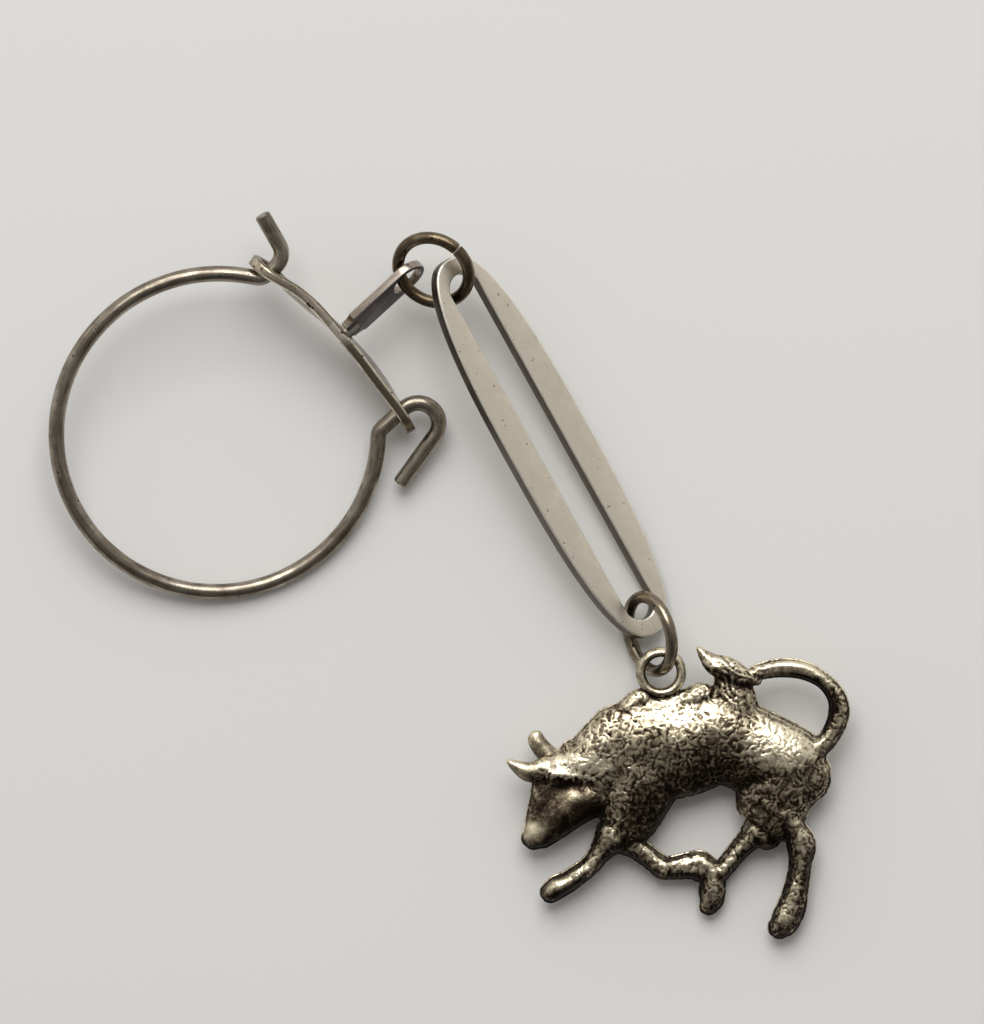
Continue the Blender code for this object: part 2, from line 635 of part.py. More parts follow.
def build():
    clear_scene()
    steel = material("spring_steel", (0.36, 0.33, 0.29), 0.34, 1.0)
    nickel = material("nickel_strip", (0.50, 0.47, 0.40), 0.30, 1.0)
    brass = material("aged_jump_ring", (0.30, 0.25, 0.19), 0.36, 1.0)
    satin = material("satin_link", (0.62, 0.60, 0.54), 0.38, 1.0)
    pewter = material("antique_pewter", (0.42, 0.39, 0.33), 0.45, 1.0)

    root = bpy.data.objects.new("keyring_frame", None)
    bpy.context.scene.collection.objects.link(root)
    PLACED[root.name] = Matrix()

    tilt = Matrix.Rotation(RING_TILT, 3, heading_vector(RING_TILT_HEADING))
    ring_world = frame((RING_LEFT, RING_HEIGHT, 0), tilt @ heading_vector(GAP_HEADING), tilt @ UP)
    points, eye_x = key_ring_points()
    ring = new_object("key_ring", flat_wire(points, WIRE_RADIUS, WIRE_SIDES, WIRE_END_CHAMFER), steel)
    place(ring, root, ring_world)

    bar_world = ring_world @ Matrix.Translation((eye_x, -HASP_SHIFT, 0))
    bar = new_object("hasp_bar", hasp_bar_mesh(), nickel)
    place(bar, ring, bar_world)
    bore = EYE_DIAMETER / 2
    reach = BAR_THICKNESS / 2 + CUT_OVERRUN
    for name, side in (("upper_eye_cutter", 1), ("lower_eye_cutter", -1)):
        hole = cutter(name, turned([(-reach, bore), (reach, bore)], BORE_SIDES), bar,
                      bar_world @ eye_frame(side))
        boolean(bar, hole, 'DIFFERENCE')
    shank_world = bar_world @ Matrix.Translation((BAR_BOW, 0, 0))
    sink = countersunk_profile(SWIVEL_CLEARANCE)
    sink = [(sink[0][0] - CUT_OVERRUN, sink[0][1]), *sink, (reach, sink[-1][1])]
    hole = cutter("swivel_cutter", turned(sink, BORE_SIDES), bar, shank_world)
    boolean(bar, hole, 'DIFFERENCE')

    shank_world = shank_world @ Matrix.Rotation(SWIVEL_TURN, 4, 'X')
    half_outline = shank_outline()
    outline = half_outline + [(x, -y) for x, y in reversed(half_outline[:-1])]
    shank = new_object("swivel_shank", extruded(outline, SHANK_THICKNESS), nickel)
    place(shank, bar, shank_world)
    add_bevel(shank, SHANK_EDGE_BEVEL)
    pin = countersunk_profile(0)
    pin.append((SHANK_START + SHANK_FOOT_LENGTH, pin[-1][1]))
    boolean(shank, cutter("swivel_pin", turned(pin, BORE_SIDES), shank, shank_world), 'UNION')
    eye_world = shank_world @ frame((SHANK_EYE_X, 0, 0), UP, (1, 0, 0))
    eye_reach = SHANK_THICKNESS / 2 + CUT_OVERRUN
    eye_profile = [(-eye_reach, SHANK_EYE_DIAMETER / 2), (eye_reach, SHANK_EYE_DIAMETER / 2)]
    hole = cutter("shank_eye_cutter", turned(eye_profile, BORE_SIDES), shank, eye_world)
    boolean(shank, hole, 'DIFFERENCE')

    slack = SHANK_EYE_DIAMETER / 2 - JUMP_WIRE_RADIUS - FIT_CLEARANCE
    seat = shank_world @ Vector((SHANK_EYE_X - slack / 2, -slack / 4, 0))
    upper_world = tilted_ring_frame(seat, UPPER_JUMP_HEADING, UPPER_JUMP_TILT)
    mesh = jump_ring_mesh(UPPER_JUMP_RADIUS, UPPER_JUMP_SEAT, UPPER_JUMP_SEAM_AT)
    upper_jump = new_object("upper_jump_ring", mesh, brass)
    place(upper_jump, shank, upper_world)

    across = heading_vector(LINK_SEAT) - heading_vector(UPPER_JUMP_SEAT)
    seat = upper_world @ (across * UPPER_JUMP_RADIUS)
    level = heading_vector(LINK_HEADING)
    along = level * math.cos(LINK_PITCH) - UP * math.sin(LINK_PITCH)
    normal = Matrix.Rotation(-LINK_ROLL, 3, along) @ (UP - along * along.z)
    link_world = frame(seat, along, normal)
    bm = link_mesh()
    slot_round = SLOT_WIDTH / 2
    slack = slot_round - JUMP_WIRE_RADIUS - FIT_CLEARANCE
    middle_x = SLOT_HALF_LENGTH - slot_round - slack / 4
    middle_y = slack / 3
    bmesh.ops.translate(bm, verts=bm.verts, vec=(middle_x, middle_y, 0))
    link = new_object("oval_link", bm, satin)
    place(link, upper_jump, link_world)
    add_bevel(link, LINK_EDGE_BEVEL, 1)

    slot_end = middle_x + SLOT_HALF_LENGTH
    wire_x = slot_end - slot_round - slack / 5
    wire_y = middle_y - slack / 2
    seat = link_world @ Vector((wire_x, wire_y, 0))
    lower_world = tilted_ring_frame(seat, LOWER_JUMP_HEADING, LOWER_JUMP_TILT)
    mesh = jump_ring_mesh(LOWER_JUMP_RADIUS, LOWER_JUMP_SEAT, LOWER_JUMP_SEAM_AT)
    lower_jump = new_object("lower_jump_ring", mesh, brass)
    place(lower_jump, link, lower_world)

    across = heading_vector(BULL_SEAT) - heading_vector(LOWER_JUMP_SEAT)
    seat = lower_world @ (across * LOWER_JUMP_RADIUS)
    bull_world = frame(seat, (1, 0, 0), Matrix.Rotation(BULL_TILT, 3, 'X') @ UP)
    slack = BAIL_HOLE_DIAMETER / 2 - JUMP_WIRE_RADIUS - FIT_CLEARANCE
    bull = new_object("bull", bull_mesh(slack / 3), pewter)
    place(bull, lower_jump, bull_world)
    merge_forms(bull)

    settle(root, [ring, bar, shank, upper_jump, link, lower_jump, bull])


def settle(root, pieces):
    """Put the origin under the middle of the footprint, with the lowest point on z = 0."""
    bpy.context.view_layer.update()
    graph = bpy.context.evaluated_depsgraph_get()
    corners = []
    for piece in pieces:
        shape = piece.evaluated_get(graph)
        corners += [shape.matrix_world @ v.co for v in shape.data.vertices]
    low = Vector([min(c[i] for c in corners) for i in range(3)])
    high = Vector([max(c[i] for c in corners) for i in range(3)])
    root.location = (-(low.x + high.x) / 2, -(low.y + high.y) / 2, -low.z)


build()
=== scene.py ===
"""The looks of the bull keyring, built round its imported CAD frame. Metres, +Z up."""
import json
import math

import bmesh
import bpy
import numpy as np
from mathutils import Matrix, Vector, noise


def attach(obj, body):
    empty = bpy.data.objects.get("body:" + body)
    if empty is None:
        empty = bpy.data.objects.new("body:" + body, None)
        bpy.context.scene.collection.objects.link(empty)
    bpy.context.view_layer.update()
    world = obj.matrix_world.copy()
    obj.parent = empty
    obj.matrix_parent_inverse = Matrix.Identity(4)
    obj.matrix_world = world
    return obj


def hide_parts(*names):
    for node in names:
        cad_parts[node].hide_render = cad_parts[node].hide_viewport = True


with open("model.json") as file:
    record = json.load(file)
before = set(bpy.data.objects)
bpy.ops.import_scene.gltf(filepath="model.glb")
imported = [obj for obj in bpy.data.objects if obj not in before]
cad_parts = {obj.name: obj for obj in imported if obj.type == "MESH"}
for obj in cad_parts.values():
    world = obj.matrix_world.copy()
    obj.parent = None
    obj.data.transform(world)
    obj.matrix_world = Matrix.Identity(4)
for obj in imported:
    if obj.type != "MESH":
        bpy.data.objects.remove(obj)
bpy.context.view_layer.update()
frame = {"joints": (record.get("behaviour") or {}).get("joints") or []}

UP = Vector((0, 0, 1))
MM = 0.001
QUARTER_TURN = math.radians(90)

# Sizes that the pieces share with the CAD model
WIRE_RADIUS = 0.00074
RING_RADIUS = 0.01465
RING_LEFT = -0.0212
RING_HEIGHT = 0.0130
RING_TILT = math.radians(10.5)
RING_TILT_HEADING = math.radians(24)
GAP_HEADING = math.radians(42.6)
UPPER_RUN_OUT = 0.0017
LOWER_RUN_OUT = 0.0008
BEND_RADIUS = 0.0011
UPPER_HOOK_RADIUS = 0.0016
UPPER_HOOK_REACH = 0.0020
UPPER_HOOK_LENGTH = 0.0045
UPPER_HOOK_TURN = math.radians(77)
LOWER_HOOK_RADIUS = 0.0019
LOWER_HOOK_TURN = math.radians(168)
LOWER_HOOK_LEG = 0.0055
WIRE_END_CHAMFER = 0.00015
EYE_SPAN = 0.0176
HASP_SHIFT = 0.0011
HASP_STAND_OFF = 0.0009
BAR_THICKNESS = 0.00095
BAR_WIDTH = 0.0042
BAR_END_MARGIN = 0.0021
BAR_BOW_RADIUS = 0.045
BAR_EDGE_RADIUS = 0.00032
BAR_TWIST = math.radians(3)
EYE_DIAMETER = 0.0026
SHANK_LENGTH = 0.0090
SHANK_WIDTH = 0.0040
SHANK_THICKNESS = 0.00075
SHANK_EDGE_BEVEL = 0.00014
SHANK_FOOT_WIDTH = 0.0029
SHANK_FOOT_LENGTH = 0.0011
SHANK_EYE_DIAMETER = 0.0029
SHANK_EYE_WALL = 0.00055
SWIVEL_TURN = math.radians(60)
NECK_DIAMETER = 0.0014
RIVET_HEAD_DIAMETER = 0.0023
RIVET_HEAD_HEIGHT = 0.00038
SWIVEL_CLEARANCE = 0.0002
JUMP_WIRE_RADIUS = 0.000575
JUMP_SEAM = 0.00012
# Each jump ring's name and radius, then its heading, tilt, seat and seam in degrees
UPPER_JUMP = ("jump_ring_a", 0.00335, -30.5, 35, 235, 75)
LOWER_JUMP = ("jump_ring_b", 0.00345, -75.5, 58, 208.6, 250)
LINK_LENGTH = 0.0390
LINK_WIDTH = 0.0086
LINK_THICKNESS = 0.0014
LINK_BLUNTNESS = 2.7
SLOT_WIDTH = 0.00313
SLOT_END_WALL = 0.0016
LINK_HEADING = math.radians(-60.95)
LINK_PITCH = math.radians(6.2)
LINK_ROLL = math.radians(27)
LINK_SEAT = math.radians(-12)
LINK_END_TURN = math.radians(25)
BULL_LENGTH = 0.0315
BULL_HEIGHT = 0.0270
BULL_THICKNESS = 0.0046
BULL_TILT = math.radians(5.5)
BULL_SEAT = math.radians(5)
BAIL_HOLE_DIAMETER = 0.00275
BAIL_WALL = 0.00095
BAIL_THICKNESS = 0.0015
BAIL_LIFT = 0.0003
FIT_CLEARANCE = 0.00025

BAR_BOW = BAR_BOW_RADIUS - math.sqrt(BAR_BOW_RADIUS ** 2 - (EYE_SPAN / 2) ** 2)
BAR_HALF_LENGTH = EYE_SPAN / 2 + BAR_END_MARGIN
UPPER_EYE_Y = EYE_SPAN / 2 - HASP_SHIFT
LOWER_EYE_Y = -EYE_SPAN / 2 - HASP_SHIFT
SHANK_START = BAR_THICKNESS / 2 + FIT_CLEARANCE
SHANK_EYE_X = SHANK_START + SHANK_LENGTH - SHANK_EYE_WALL - SHANK_EYE_DIAMETER / 2
SLOT_HALF_LENGTH = LINK_LENGTH / 2 - SLOT_END_WALL

# How fine the visible pieces are
WIRE_SIDES = 32
RING_STEP = math.radians(1.5)
BEND_STEP = math.radians(5)
JUMP_STEP = math.radians(3)
BORE_SIDES = 64
BAR_SECTIONS = 97
BAR_CORNER_STEP = 15
FOOT_STEPS = 8
TONGUE_END_STEPS = 24
LINK_END_STEPS = 36
LINK_SIDE_STEPS = 96
BEVEL_STEPS = 4
BEVEL_FROM = math.radians(50)
SHARP_FROM = math.radians(32)
NEVER_SHARP = math.radians(180)

# Shapes that the CAD model leaves plain
LIP = 0.00009
LINK_BEVEL = 0.00018
# A round wire of this share of the radius is as full as the CAD model's flat-sided wire
ROUND_SHARE = 0.975
BAIL_ROUND_SHARE = 0.94
# The hasp strip leans between its eyes: how far, and over which shares of its half length
UPPER_BAR_LEAN = math.radians(11)
LOWER_BAR_LEAN = math.radians(-5)
LEAN_RISES = (0.0, 0.42)
LEAN_FALLS = (0.86, 0.50)
# The strip's painted light and shade: where its edge turns from one side to the other,
# and its corner with a painted highlight
STRIP_EDGE_TURNS = (0.0025, -0.0015)
STRIP_EDGE_FACING = 0.6
STRIP_CORNER_FACING = 0.95
STRIP_CORNER_HIGHLIGHT = 0.3


# Shapes

def frame_at(origin, x_axis, z_axis):
    z = Vector(z_axis).normalized()
    x = Vector(x_axis)
    x = (x - z * x.dot(z)).normalized()
    matrix = Matrix((x, z.cross(x), z)).transposed().to_4x4()
    matrix.translation = Vector(origin)
    return matrix


def heading_vector(angle):
    return Vector((math.cos(angle), math.sin(angle), 0))


def link_object(name, data):
    obj = bpy.data.objects.new(name, data)
    bpy.context.scene.collection.objects.link(obj)
    return obj


def new_object(name, bm, world):
    bmesh.ops.recalc_face_normals(bm, faces=bm.faces)
    mesh = bpy.data.meshes.new(name)
    bm.to_mesh(mesh)
    bm.free()
    mesh.shade_smooth()
    mesh.set_sharp_from_angle(angle=SHARP_FROM)
    obj = link_object(name, mesh)
    obj.matrix_world = world
    return obj


def bake_modifiers(obj, sharp=SHARP_FROM):
    """Put the evaluated mesh in place of the object's own and drop its modifiers."""
    bpy.context.view_layer.update()
    shape = obj.evaluated_get(bpy.context.evaluated_depsgraph_get())
    mesh = bpy.data.meshes.new_from_object(shape)
    obj.modifiers.clear()
    obj.data = mesh
    mesh.shade_smooth()
    mesh.set_sharp_from_angle(angle=sharp)


def plain_wall(face):
    """How far a face is turned away from a piece's flat sides: 0 on them, 1 on the walls."""
    return 1 - abs(face.normal.z)


def strip_painted_light(face):
    """How the hasp strip is painted: 0 on its inner side, 1 on its outer side in painted shade.

    Its upper edge takes the inner side's tones at one end and painted shade at the other, and
    the corner between the two sides gets a painted highlight.
    """
    reach = BAR_BOW_RADIUS * math.asin(max(-1, min(1, face.center.y / BAR_BOW_RADIUS)))
    outward = bar_directions(reach)[2].dot(face.normal)
    lit_side = -outward if reach > 0 else outward
    # The corner on the lit side takes the bright edge colour, a painted highlight
    if STRIP_EDGE_FACING < lit_side < STRIP_CORNER_FACING and face.normal.z > 0:
        return STRIP_CORNER_HIGHLIGHT
    # The upper edge turns from the inner side's own tones to painted shade; the outer side is
    # painted shade
    if abs(outward) < STRIP_EDGE_FACING:
        return smooth_step(*STRIP_EDGE_TURNS, reach)
    return 0 if outward < 0 else 1


def read_rows(items, name, width, kind):
    values = np.empty(len(items) * width, dtype=kind)
    items.foreach_get(name, values)
    return values.reshape(-1, width)


def settle_piece(obj, wall_of):
    """Move the piece's frame into its mesh, and store its own coordinates as its grain."""
    mesh = obj.data
    if "grain" not in mesh.attributes:
        grain = read_rows(mesh.vertices, "co", 3, np.float32).ravel()
        mesh.attributes.new("grain", 'FLOAT_VECTOR', 'POINT').data.foreach_set("vector", grain)
    walls = [wall_of(face) for face in mesh.polygons]
    mesh.attributes.new("wall", 'FLOAT', 'FACE').data.foreach_set("value", walls)
    mesh.transform(obj.matrix_world)
    obj.matrix_world = Matrix()


def skin_rings(bm, rings, closed=False, grains=None):
    """Join rings of points into a tube, closed on itself or capped, with its grain if given."""
    layer = bm.verts.layers.float_vector.new("grain") if grains else None
    verts = [[bm.verts.new(point) for point in ring] for ring in rings]
    if grains:
        for ring, values in zip(verts, grains):
            for vert, value in zip(ring, values):
                vert[layer] = value
    count = len(verts[0])
    pairs = list(zip(verts, verts[1:]))
    if closed:
        pairs.append((verts[-1], verts[0]))
    for near, far in pairs:
        for i in range(count):
            j = (i + 1) % count
            bm.faces.new((near[i], near[j], far[j], far[i]))
    if not closed:
        bm.faces.new(list(reversed(verts[0])))
        bm.faces.new(verts[-1])


def round_turns(sides):
    return [math.tau * k / sides for k in range(sides)]


def flat_wire(points, radius, chamfer):
    """A round wire along a flat path, its grain running along the wire."""
    radius *= ROUND_SHARE
    bm = bmesh.new()
    start = (points[0] - points[1]).normalized()
    end = (points[-1] - points[-2]).normalized()
    stations = [(points[0], radius - chamfer), (points[0] - start * chamfer, radius)]
    stations += [(p, radius) for p in points[1:-1]]
    stations += [(points[-1] - end * chamfer, radius), (points[-1], radius - chamfer)]
    rings, grains = [], []
    length = 0
    for i, (p, r) in enumerate(stations):
        if i < 2:
            along = -start
        elif i > len(stations) - 3:
            along = end
        else:
            along = (stations[i + 1][0] - stations[i - 1][0]).normalized()
        if i:
            length += (p - stations[i - 1][0]).length
        side = UP.cross(along)
        turns = round_turns(WIRE_SIDES)
        rings.append([p + side * (r * math.cos(t)) + UP * (r * math.sin(t)) for t in turns])
        grains.append([(length, radius * math.cos(t), radius * math.sin(t)) for t in turns])
    skin_rings(bm, rings, grains=grains)
    return bm


def arc_points(centre, radius, start, end, step):
    count = max(2, math.ceil(abs(end - start) / step))
    angles = [start + (end - start) * i / count for i in range(count + 1)]
    return [centre + heading_vector(a) * radius for a in angles]


def rounded_corner(before, corner, after, radius):
    """The points of a bend that rounds the corner between two straight runs."""
    into = (corner - before).normalized()
    out = (after - corner).normalized()
    turn = into.angle(out)
    side = 1 if into.cross(out).z > 0 else -1
    start = corner - into * radius * math.tan(turn / 2)
    centre = start + UP.cross(into) * radius * side
    first = math.atan2(start.y - centre.y, start.x - centre.x)
    return arc_points(centre, radius, first, first + side * turn, BEND_STEP)


def run_out(eye_y, run):
    """Where the ring's circle ends, and the corner where its straight run meets the eye's line."""
    angle = math.asin(abs(eye_y) / math.hypot(RING_RADIUS, run)) + math.atan2(run, RING_RADIUS)
    corner_x = RING_RADIUS * math.cos(angle) + run * math.sin(angle)
    return angle, Vector((corner_x, eye_y, 0))


def key_ring_points():
    upper_angle, upper_corner = run_out(UPPER_EYE_Y, UPPER_RUN_OUT)
    lower_angle, lower_corner = run_out(LOWER_EYE_Y, LOWER_RUN_OUT)
    eye_x = upper_corner.x + HASP_STAND_OFF
    hook_corner = Vector((eye_x + UPPER_HOOK_REACH, UPPER_EYE_Y, 0))
    hook_tip = hook_corner + heading_vector(UPPER_HOOK_TURN) * UPPER_HOOK_LENGTH
    upper_leave = heading_vector(upper_angle) * RING_RADIUS
    points = [hook_tip]
    points += rounded_corner(hook_tip, hook_corner, upper_corner, UPPER_HOOK_RADIUS)
    points += rounded_corner(hook_corner, upper_corner, upper_leave, BEND_RADIUS)
    circle = arc_points(Vector(), RING_RADIUS, upper_angle, math.tau - lower_angle, RING_STEP)
    points += circle
    turn_start = Vector((eye_x + BAR_THICKNESS / 2, LOWER_EYE_Y, 0))
    points += rounded_corner(circle[-1], lower_corner, turn_start, BEND_RADIUS)[1:]
    hook_centre = turn_start - Vector((0, LOWER_HOOK_RADIUS, 0))
    points += arc_points(hook_centre, LOWER_HOOK_RADIUS, QUARTER_TURN,
                         QUARTER_TURN - LOWER_HOOK_TURN, BEND_STEP)
    points.append(points[-1] + heading_vector(-LOWER_HOOK_TURN) * LOWER_HOOK_LEG)
    return points, eye_x


def turned(name, profile, world):
    """A profile of (x, radius) points turned about the X axis."""
    bm = bmesh.new()
    skin_rings(bm, [[(x, r * math.cos(t), r * math.sin(t)) for t in round_turns(BORE_SIDES)]
                    for x, r in profile])
    return new_object(name, bm, world)


def bore_profile(half, radius):
    """A through hole's cutter, flared past both faces so that the hole gets a broken edge."""
    return [(-half - LIP, radius + LIP * 2), (-half + LIP, radius),
            (half - LIP, radius), (half + LIP, radius + LIP * 2)]


def combine(obj, others, operation):
    for other in others:
        modifier = obj.modifiers.new(other.name, 'BOOLEAN')
        modifier.object = other
        modifier.operation = operation
        modifier.solver = 'EXACT'
    bake_modifiers(obj)
    for other in others:
        bpy.data.objects.remove(other, do_unlink=True)


def bevel_edges(obj, width):
    bevel = obj.modifiers.new("edge", 'BEVEL')
    bevel.width = width
    bevel.segments = BEVEL_STEPS
    bevel.limit_method = 'ANGLE'
    bevel.angle_limit = BEVEL_FROM
    bake_modifiers(obj)


def smooth_step(low, high, value):
    """From 0 at low to 1 at high, for a number or an array."""
    t = np.clip((value - low) / (high - low), 0, 1)
    return t * t * (3 - 2 * t)


def bar_directions(reach):
    """The strip's bow direction there, and its twisted across and outward directions."""
    share = reach / BAR_HALF_LENGTH
    lean = smooth_step(*LEAN_RISES, abs(share)) * smooth_step(*LEAN_FALLS, abs(share))
    twist = -BAR_TWIST * share + lean * (UPPER_BAR_LEAN if share > 0 else LOWER_BAR_LEAN)
    radial = heading_vector(reach / BAR_BOW_RADIUS)
    across = UP * math.cos(twist) + radial * math.sin(twist)
    outward = radial * math.cos(twist) - UP * math.sin(twist)
    return radial, across, outward


def hasp_bar_mesh():
    bm = bmesh.new()
    end_radius = BAR_WIDTH / 2
    straight = BAR_HALF_LENGTH - end_radius
    rings = []
    for i in range(BAR_SECTIONS):
        reach = BAR_HALF_LENGTH * math.sin(math.pi * (i / (BAR_SECTIONS - 1) - 1 / 2))
        past = max(0, abs(reach) - straight)
        half_width = math.sqrt(max(end_radius ** 2 - past ** 2, BAR_EDGE_RADIUS ** 2))
        corner = min(BAR_EDGE_RADIUS, half_width - BAR_EDGE_RADIUS / 2)
        radial, across, outward = bar_directions(reach)
        centre = Vector((BAR_BOW - BAR_BOW_RADIUS, 0, 0)) + radial * BAR_BOW_RADIUS
        ring = []
        for sign_out, sign_up, first in ((1, -1, -90), (1, 1, 0), (-1, 1, 90), (-1, -1, 180)):
            for degrees in range(0, 91, BAR_CORNER_STEP):
                a = math.radians(first + degrees)
                out = sign_out * (BAR_THICKNESS / 2 - corner) + corner * math.cos(a)
                up = sign_up * (half_width - corner) + corner * math.sin(a)
                ring.append(centre + outward * out + across * up)
        rings.append(ring)
    skin_rings(bm, rings)
    return bm


def eye_frame(side):
    bend = side * math.asin(EYE_SPAN / 2 / BAR_BOW_RADIUS)
    return frame_at((0, side * EYE_SPAN / 2, 0), heading_vector(bend), UP)


def countersunk_profile(clearance):
    inner = -BAR_THICKNESS / 2
    head = RIVET_HEAD_DIAMETER / 2 + clearance
    neck = NECK_DIAMETER / 2 + clearance
    return [(inner, head), (inner + RIVET_HEAD_HEIGHT, neck)]


def shank_mesh():
    foot = SHANK_FOOT_WIDTH / 2
    half = SHANK_WIDTH / 2
    wall = SHANK_EYE_DIAMETER / 2 + SHANK_EYE_WALL
    points = [(SHANK_START, foot)]
    for i in range(1, FOOT_STEPS + 1):
        turn = QUARTER_TURN * i / FOOT_STEPS
        x = SHANK_START + SHANK_FOOT_LENGTH * math.sin(turn)
        points.append((x, foot + (half - foot) * (1 - math.cos(turn))))
    for i in range(TONGUE_END_STEPS + 1):
        turn = QUARTER_TURN * i / TONGUE_END_STEPS
        points.append((SHANK_EYE_X + wall * math.sin(turn), half * math.cos(turn)))
    outline = points + [(x, -y) for x, y in reversed(points[:-1])]
    bm = bmesh.new()
    skin_rings(bm, [[(x, y, z) for x, y in outline]
                    for z in (-SHANK_THICKNESS / 2, SHANK_THICKNESS / 2)])
    return bm


def jump_ring(name, radius, heading, tilt, seat, seam_at, place, next_seat):
    """A split ring hung at a place, and where the next piece hangs on it."""
    heading, tilt, seat, seam_at = map(math.radians, (heading, tilt, seat, seam_at))
    half_seam = JUMP_SEAM / 2 / radius
    points = arc_points(-heading_vector(seat) * radius, radius, seam_at + half_seam,
                        seam_at + math.tau - half_seam, JUMP_STEP)
    x_axis = heading_vector(heading)
    world = frame_at(place, x_axis, Matrix.Rotation(tilt, 3, x_axis) @ UP)
    ring = new_object(name, flat_wire(points, JUMP_WIRE_RADIUS, JUMP_SEAM / 2), world)
    return ring, world @ ((heading_vector(next_seat) - heading_vector(seat)) * radius)


def link_outlines():
    """The slot's outline, and the blunt oval outside with a point for each of the slot's."""
    radius = SLOT_WIDTH / 2
    straight = SLOT_HALF_LENGTH - radius
    slot = []
    for side in (1, -1):
        for k in range(LINK_END_STEPS + 1):
            turn = side * math.pi * (k / LINK_END_STEPS - 1 / 2)
            slot.append((side * (straight + radius * math.cos(turn)), radius * math.sin(turn)))
        for k in range(1, LINK_SIDE_STEPS):
            slot.append((side * straight * (1 - 2 * k / LINK_SIDE_STEPS), side * radius))
    outline = []
    power = 2 / LINK_BLUNTNESS
    for x, y in slot:
        if abs(x) > straight:
            along = (abs(x) - straight) / radius
            past = math.atan2(along, abs(y) / radius) / QUARTER_TURN
            turn = LINK_END_TURN * (1 - past)
        else:
            turn = LINK_END_TURN + (QUARTER_TURN - LINK_END_TURN) * (1 - abs(x) / straight)
        outline.append((math.copysign(LINK_LENGTH / 2 * math.cos(turn) ** power, x),
                        math.copysign(LINK_WIDTH / 2 * math.sin(turn) ** power, y)))
    return slot, outline


def link_mesh():
    slot, outline = link_outlines()
    bm = bmesh.new()
    top, low = LINK_THICKNESS / 2, -LINK_THICKNESS / 2
    skin_rings(bm, [[(x, y, z) for x, y in loop]
                    for loop, z in ((outline, top), (slot, top), (slot, low), (outline, low))],
               closed=True)
    return bm


# The bull's forms: paths of (x, y, half width, half depth) in thousandths of its length,
# height, length and thickness, and a shift in thousandths of its thickness
BULL_FORMS = (
    (((244, 573, 115, 360), (322, 600, 144, 430), (409, 641, 156, 480), (516, 654, 147, 500),
      (608, 685, 136, 460), (677, 661, 130, 440), (741, 627, 130, 460), (816, 587, 124, 460),
      (839, 560, 107, 400)), 0),
    (((158, 560, 72, 330), (195, 576, 78, 360), (244, 600, 92, 400), (291, 637, 104, 400),
      (337, 675, 115, 380)), 0),
    (((813, 600, 118, 440), (778, 488, 118, 460), (770, 401, 92, 400), (755, 363, 52, 320)), 0),
    (((397, 590, 139, 480), (369, 472, 110, 480), (345, 390, 87, 420), (328, 350, 52, 340)), 0),
    (((167, 573, 61, 300), (158, 512, 87, 280), (129, 441, 69, 270), (103, 380, 55, 280),
      (83, 350, 40, 260)), 0),
    (((254, 489, 65, 380), (193, 465, 73, 420), (138, 408, 64, 400), (104, 370, 54, 350)), 20),
    (((117, 573, 20, 170), (187, 563, 20, 170), (250, 560, 23, 170), (276, 522, 20, 140)), 220),
    (((123, 587, 35, 200), (74, 573, 32, 180), (37, 590, 22, 150), (11, 609, 10, 90)), 160),
    (((143, 607, 32, 190), (109, 644, 29, 170), (91, 675, 27, 150), (90, 686, 23, 130)), -120),
    (((311, 357, 58, 360), (273, 296, 36, 280), (242, 252, 33, 260), (187, 204, 35, 250),
      (155, 184, 38, 260), (132, 164, 35, 240)), 60),
    (((331, 357, 58, 360), (380, 313, 38, 280), (423, 275, 35, 260), (458, 245, 38, 270)), -20),
    (((446, 245, 32, 250), (487, 245, 38, 250), (533, 252, 43, 270), (562, 250, 49, 270),
      (597, 235, 38, 260)), -60),
    (((599, 235, 35, 250), (599, 187, 42, 260), (597, 140, 40, 250), (589, 116, 32, 200)), -60),
    (((729, 370, 52, 360), (700, 336, 38, 290), (666, 292, 33, 260), (625, 231, 32, 250)), -80),
    (((804, 438, 52, 400), (833, 384, 39, 320), (855, 326, 46, 300), (852, 258, 36, 270),
      (840, 174, 39, 270), (825, 106, 46, 280), (804, 59, 45, 270), (793, 45, 38, 220)), 60),
    (((874, 627, 38, 300), (923, 671, 32, 250), (952, 722, 32, 210), (964, 773, 33, 200),
      (956, 827, 30, 190), (920, 879, 27, 190), (862, 915, 30, 190), (793, 923, 30, 200),
      (726, 908, 26, 210)), 0),
    (((726, 881, 17, 170), (683, 893, 33, 240), (640, 918, 39, 260), (602, 937, 32, 240),
      (576, 964, 20, 180), (558, 989, 9, 110)), 40),
    (((663, 763, 75, 340), (657, 830, 69, 280), (654, 871, 55, 240)), 0),
    (((348, 776, 40, 260), (389, 817, 39, 220), (415, 800, 35, 200), (449, 793, 35, 200),
      (504, 803, 43, 220), (568, 827, 49, 260)), 0),
)
BAIL_CENTRE_SHARE = (0.450, 0.909)
DOME_SHARES = ((0.42, 0.91), (0.77, 0.64), (0.94, 0.34))
LIMB_STEPS = 8
LIMB_SIDES = 24
BAIL_STEPS = 96
# The parting fin: how far it stands out of the melted forms, its half thickness, and how far it
# is trimmed. Forms without a fin, nearly full inside it, or grooved go by their row above
FIN_REACH = 0.00021
FIN_HALF = 0.00011
FIN_TRIM = 0.00004
FIN_FLATNESS = 4
FINLESS_FORMS = (6, 18)
SLIM_FORMS = (6, 7, 8, 16)
SLIM_INSET = 0.3
GROOVED_FORMS = {10: 0.10, 11: 0.10, 15: 0.15}
GROOVE_WIDTH = 0.32
# Melting the forms together, then joining them with the fin and the bail
FORM_VOXEL = 0.00012
FORM_ROUNDS = 18
CAST_VOXEL = 0.000078
CAST_ROUNDS = 2

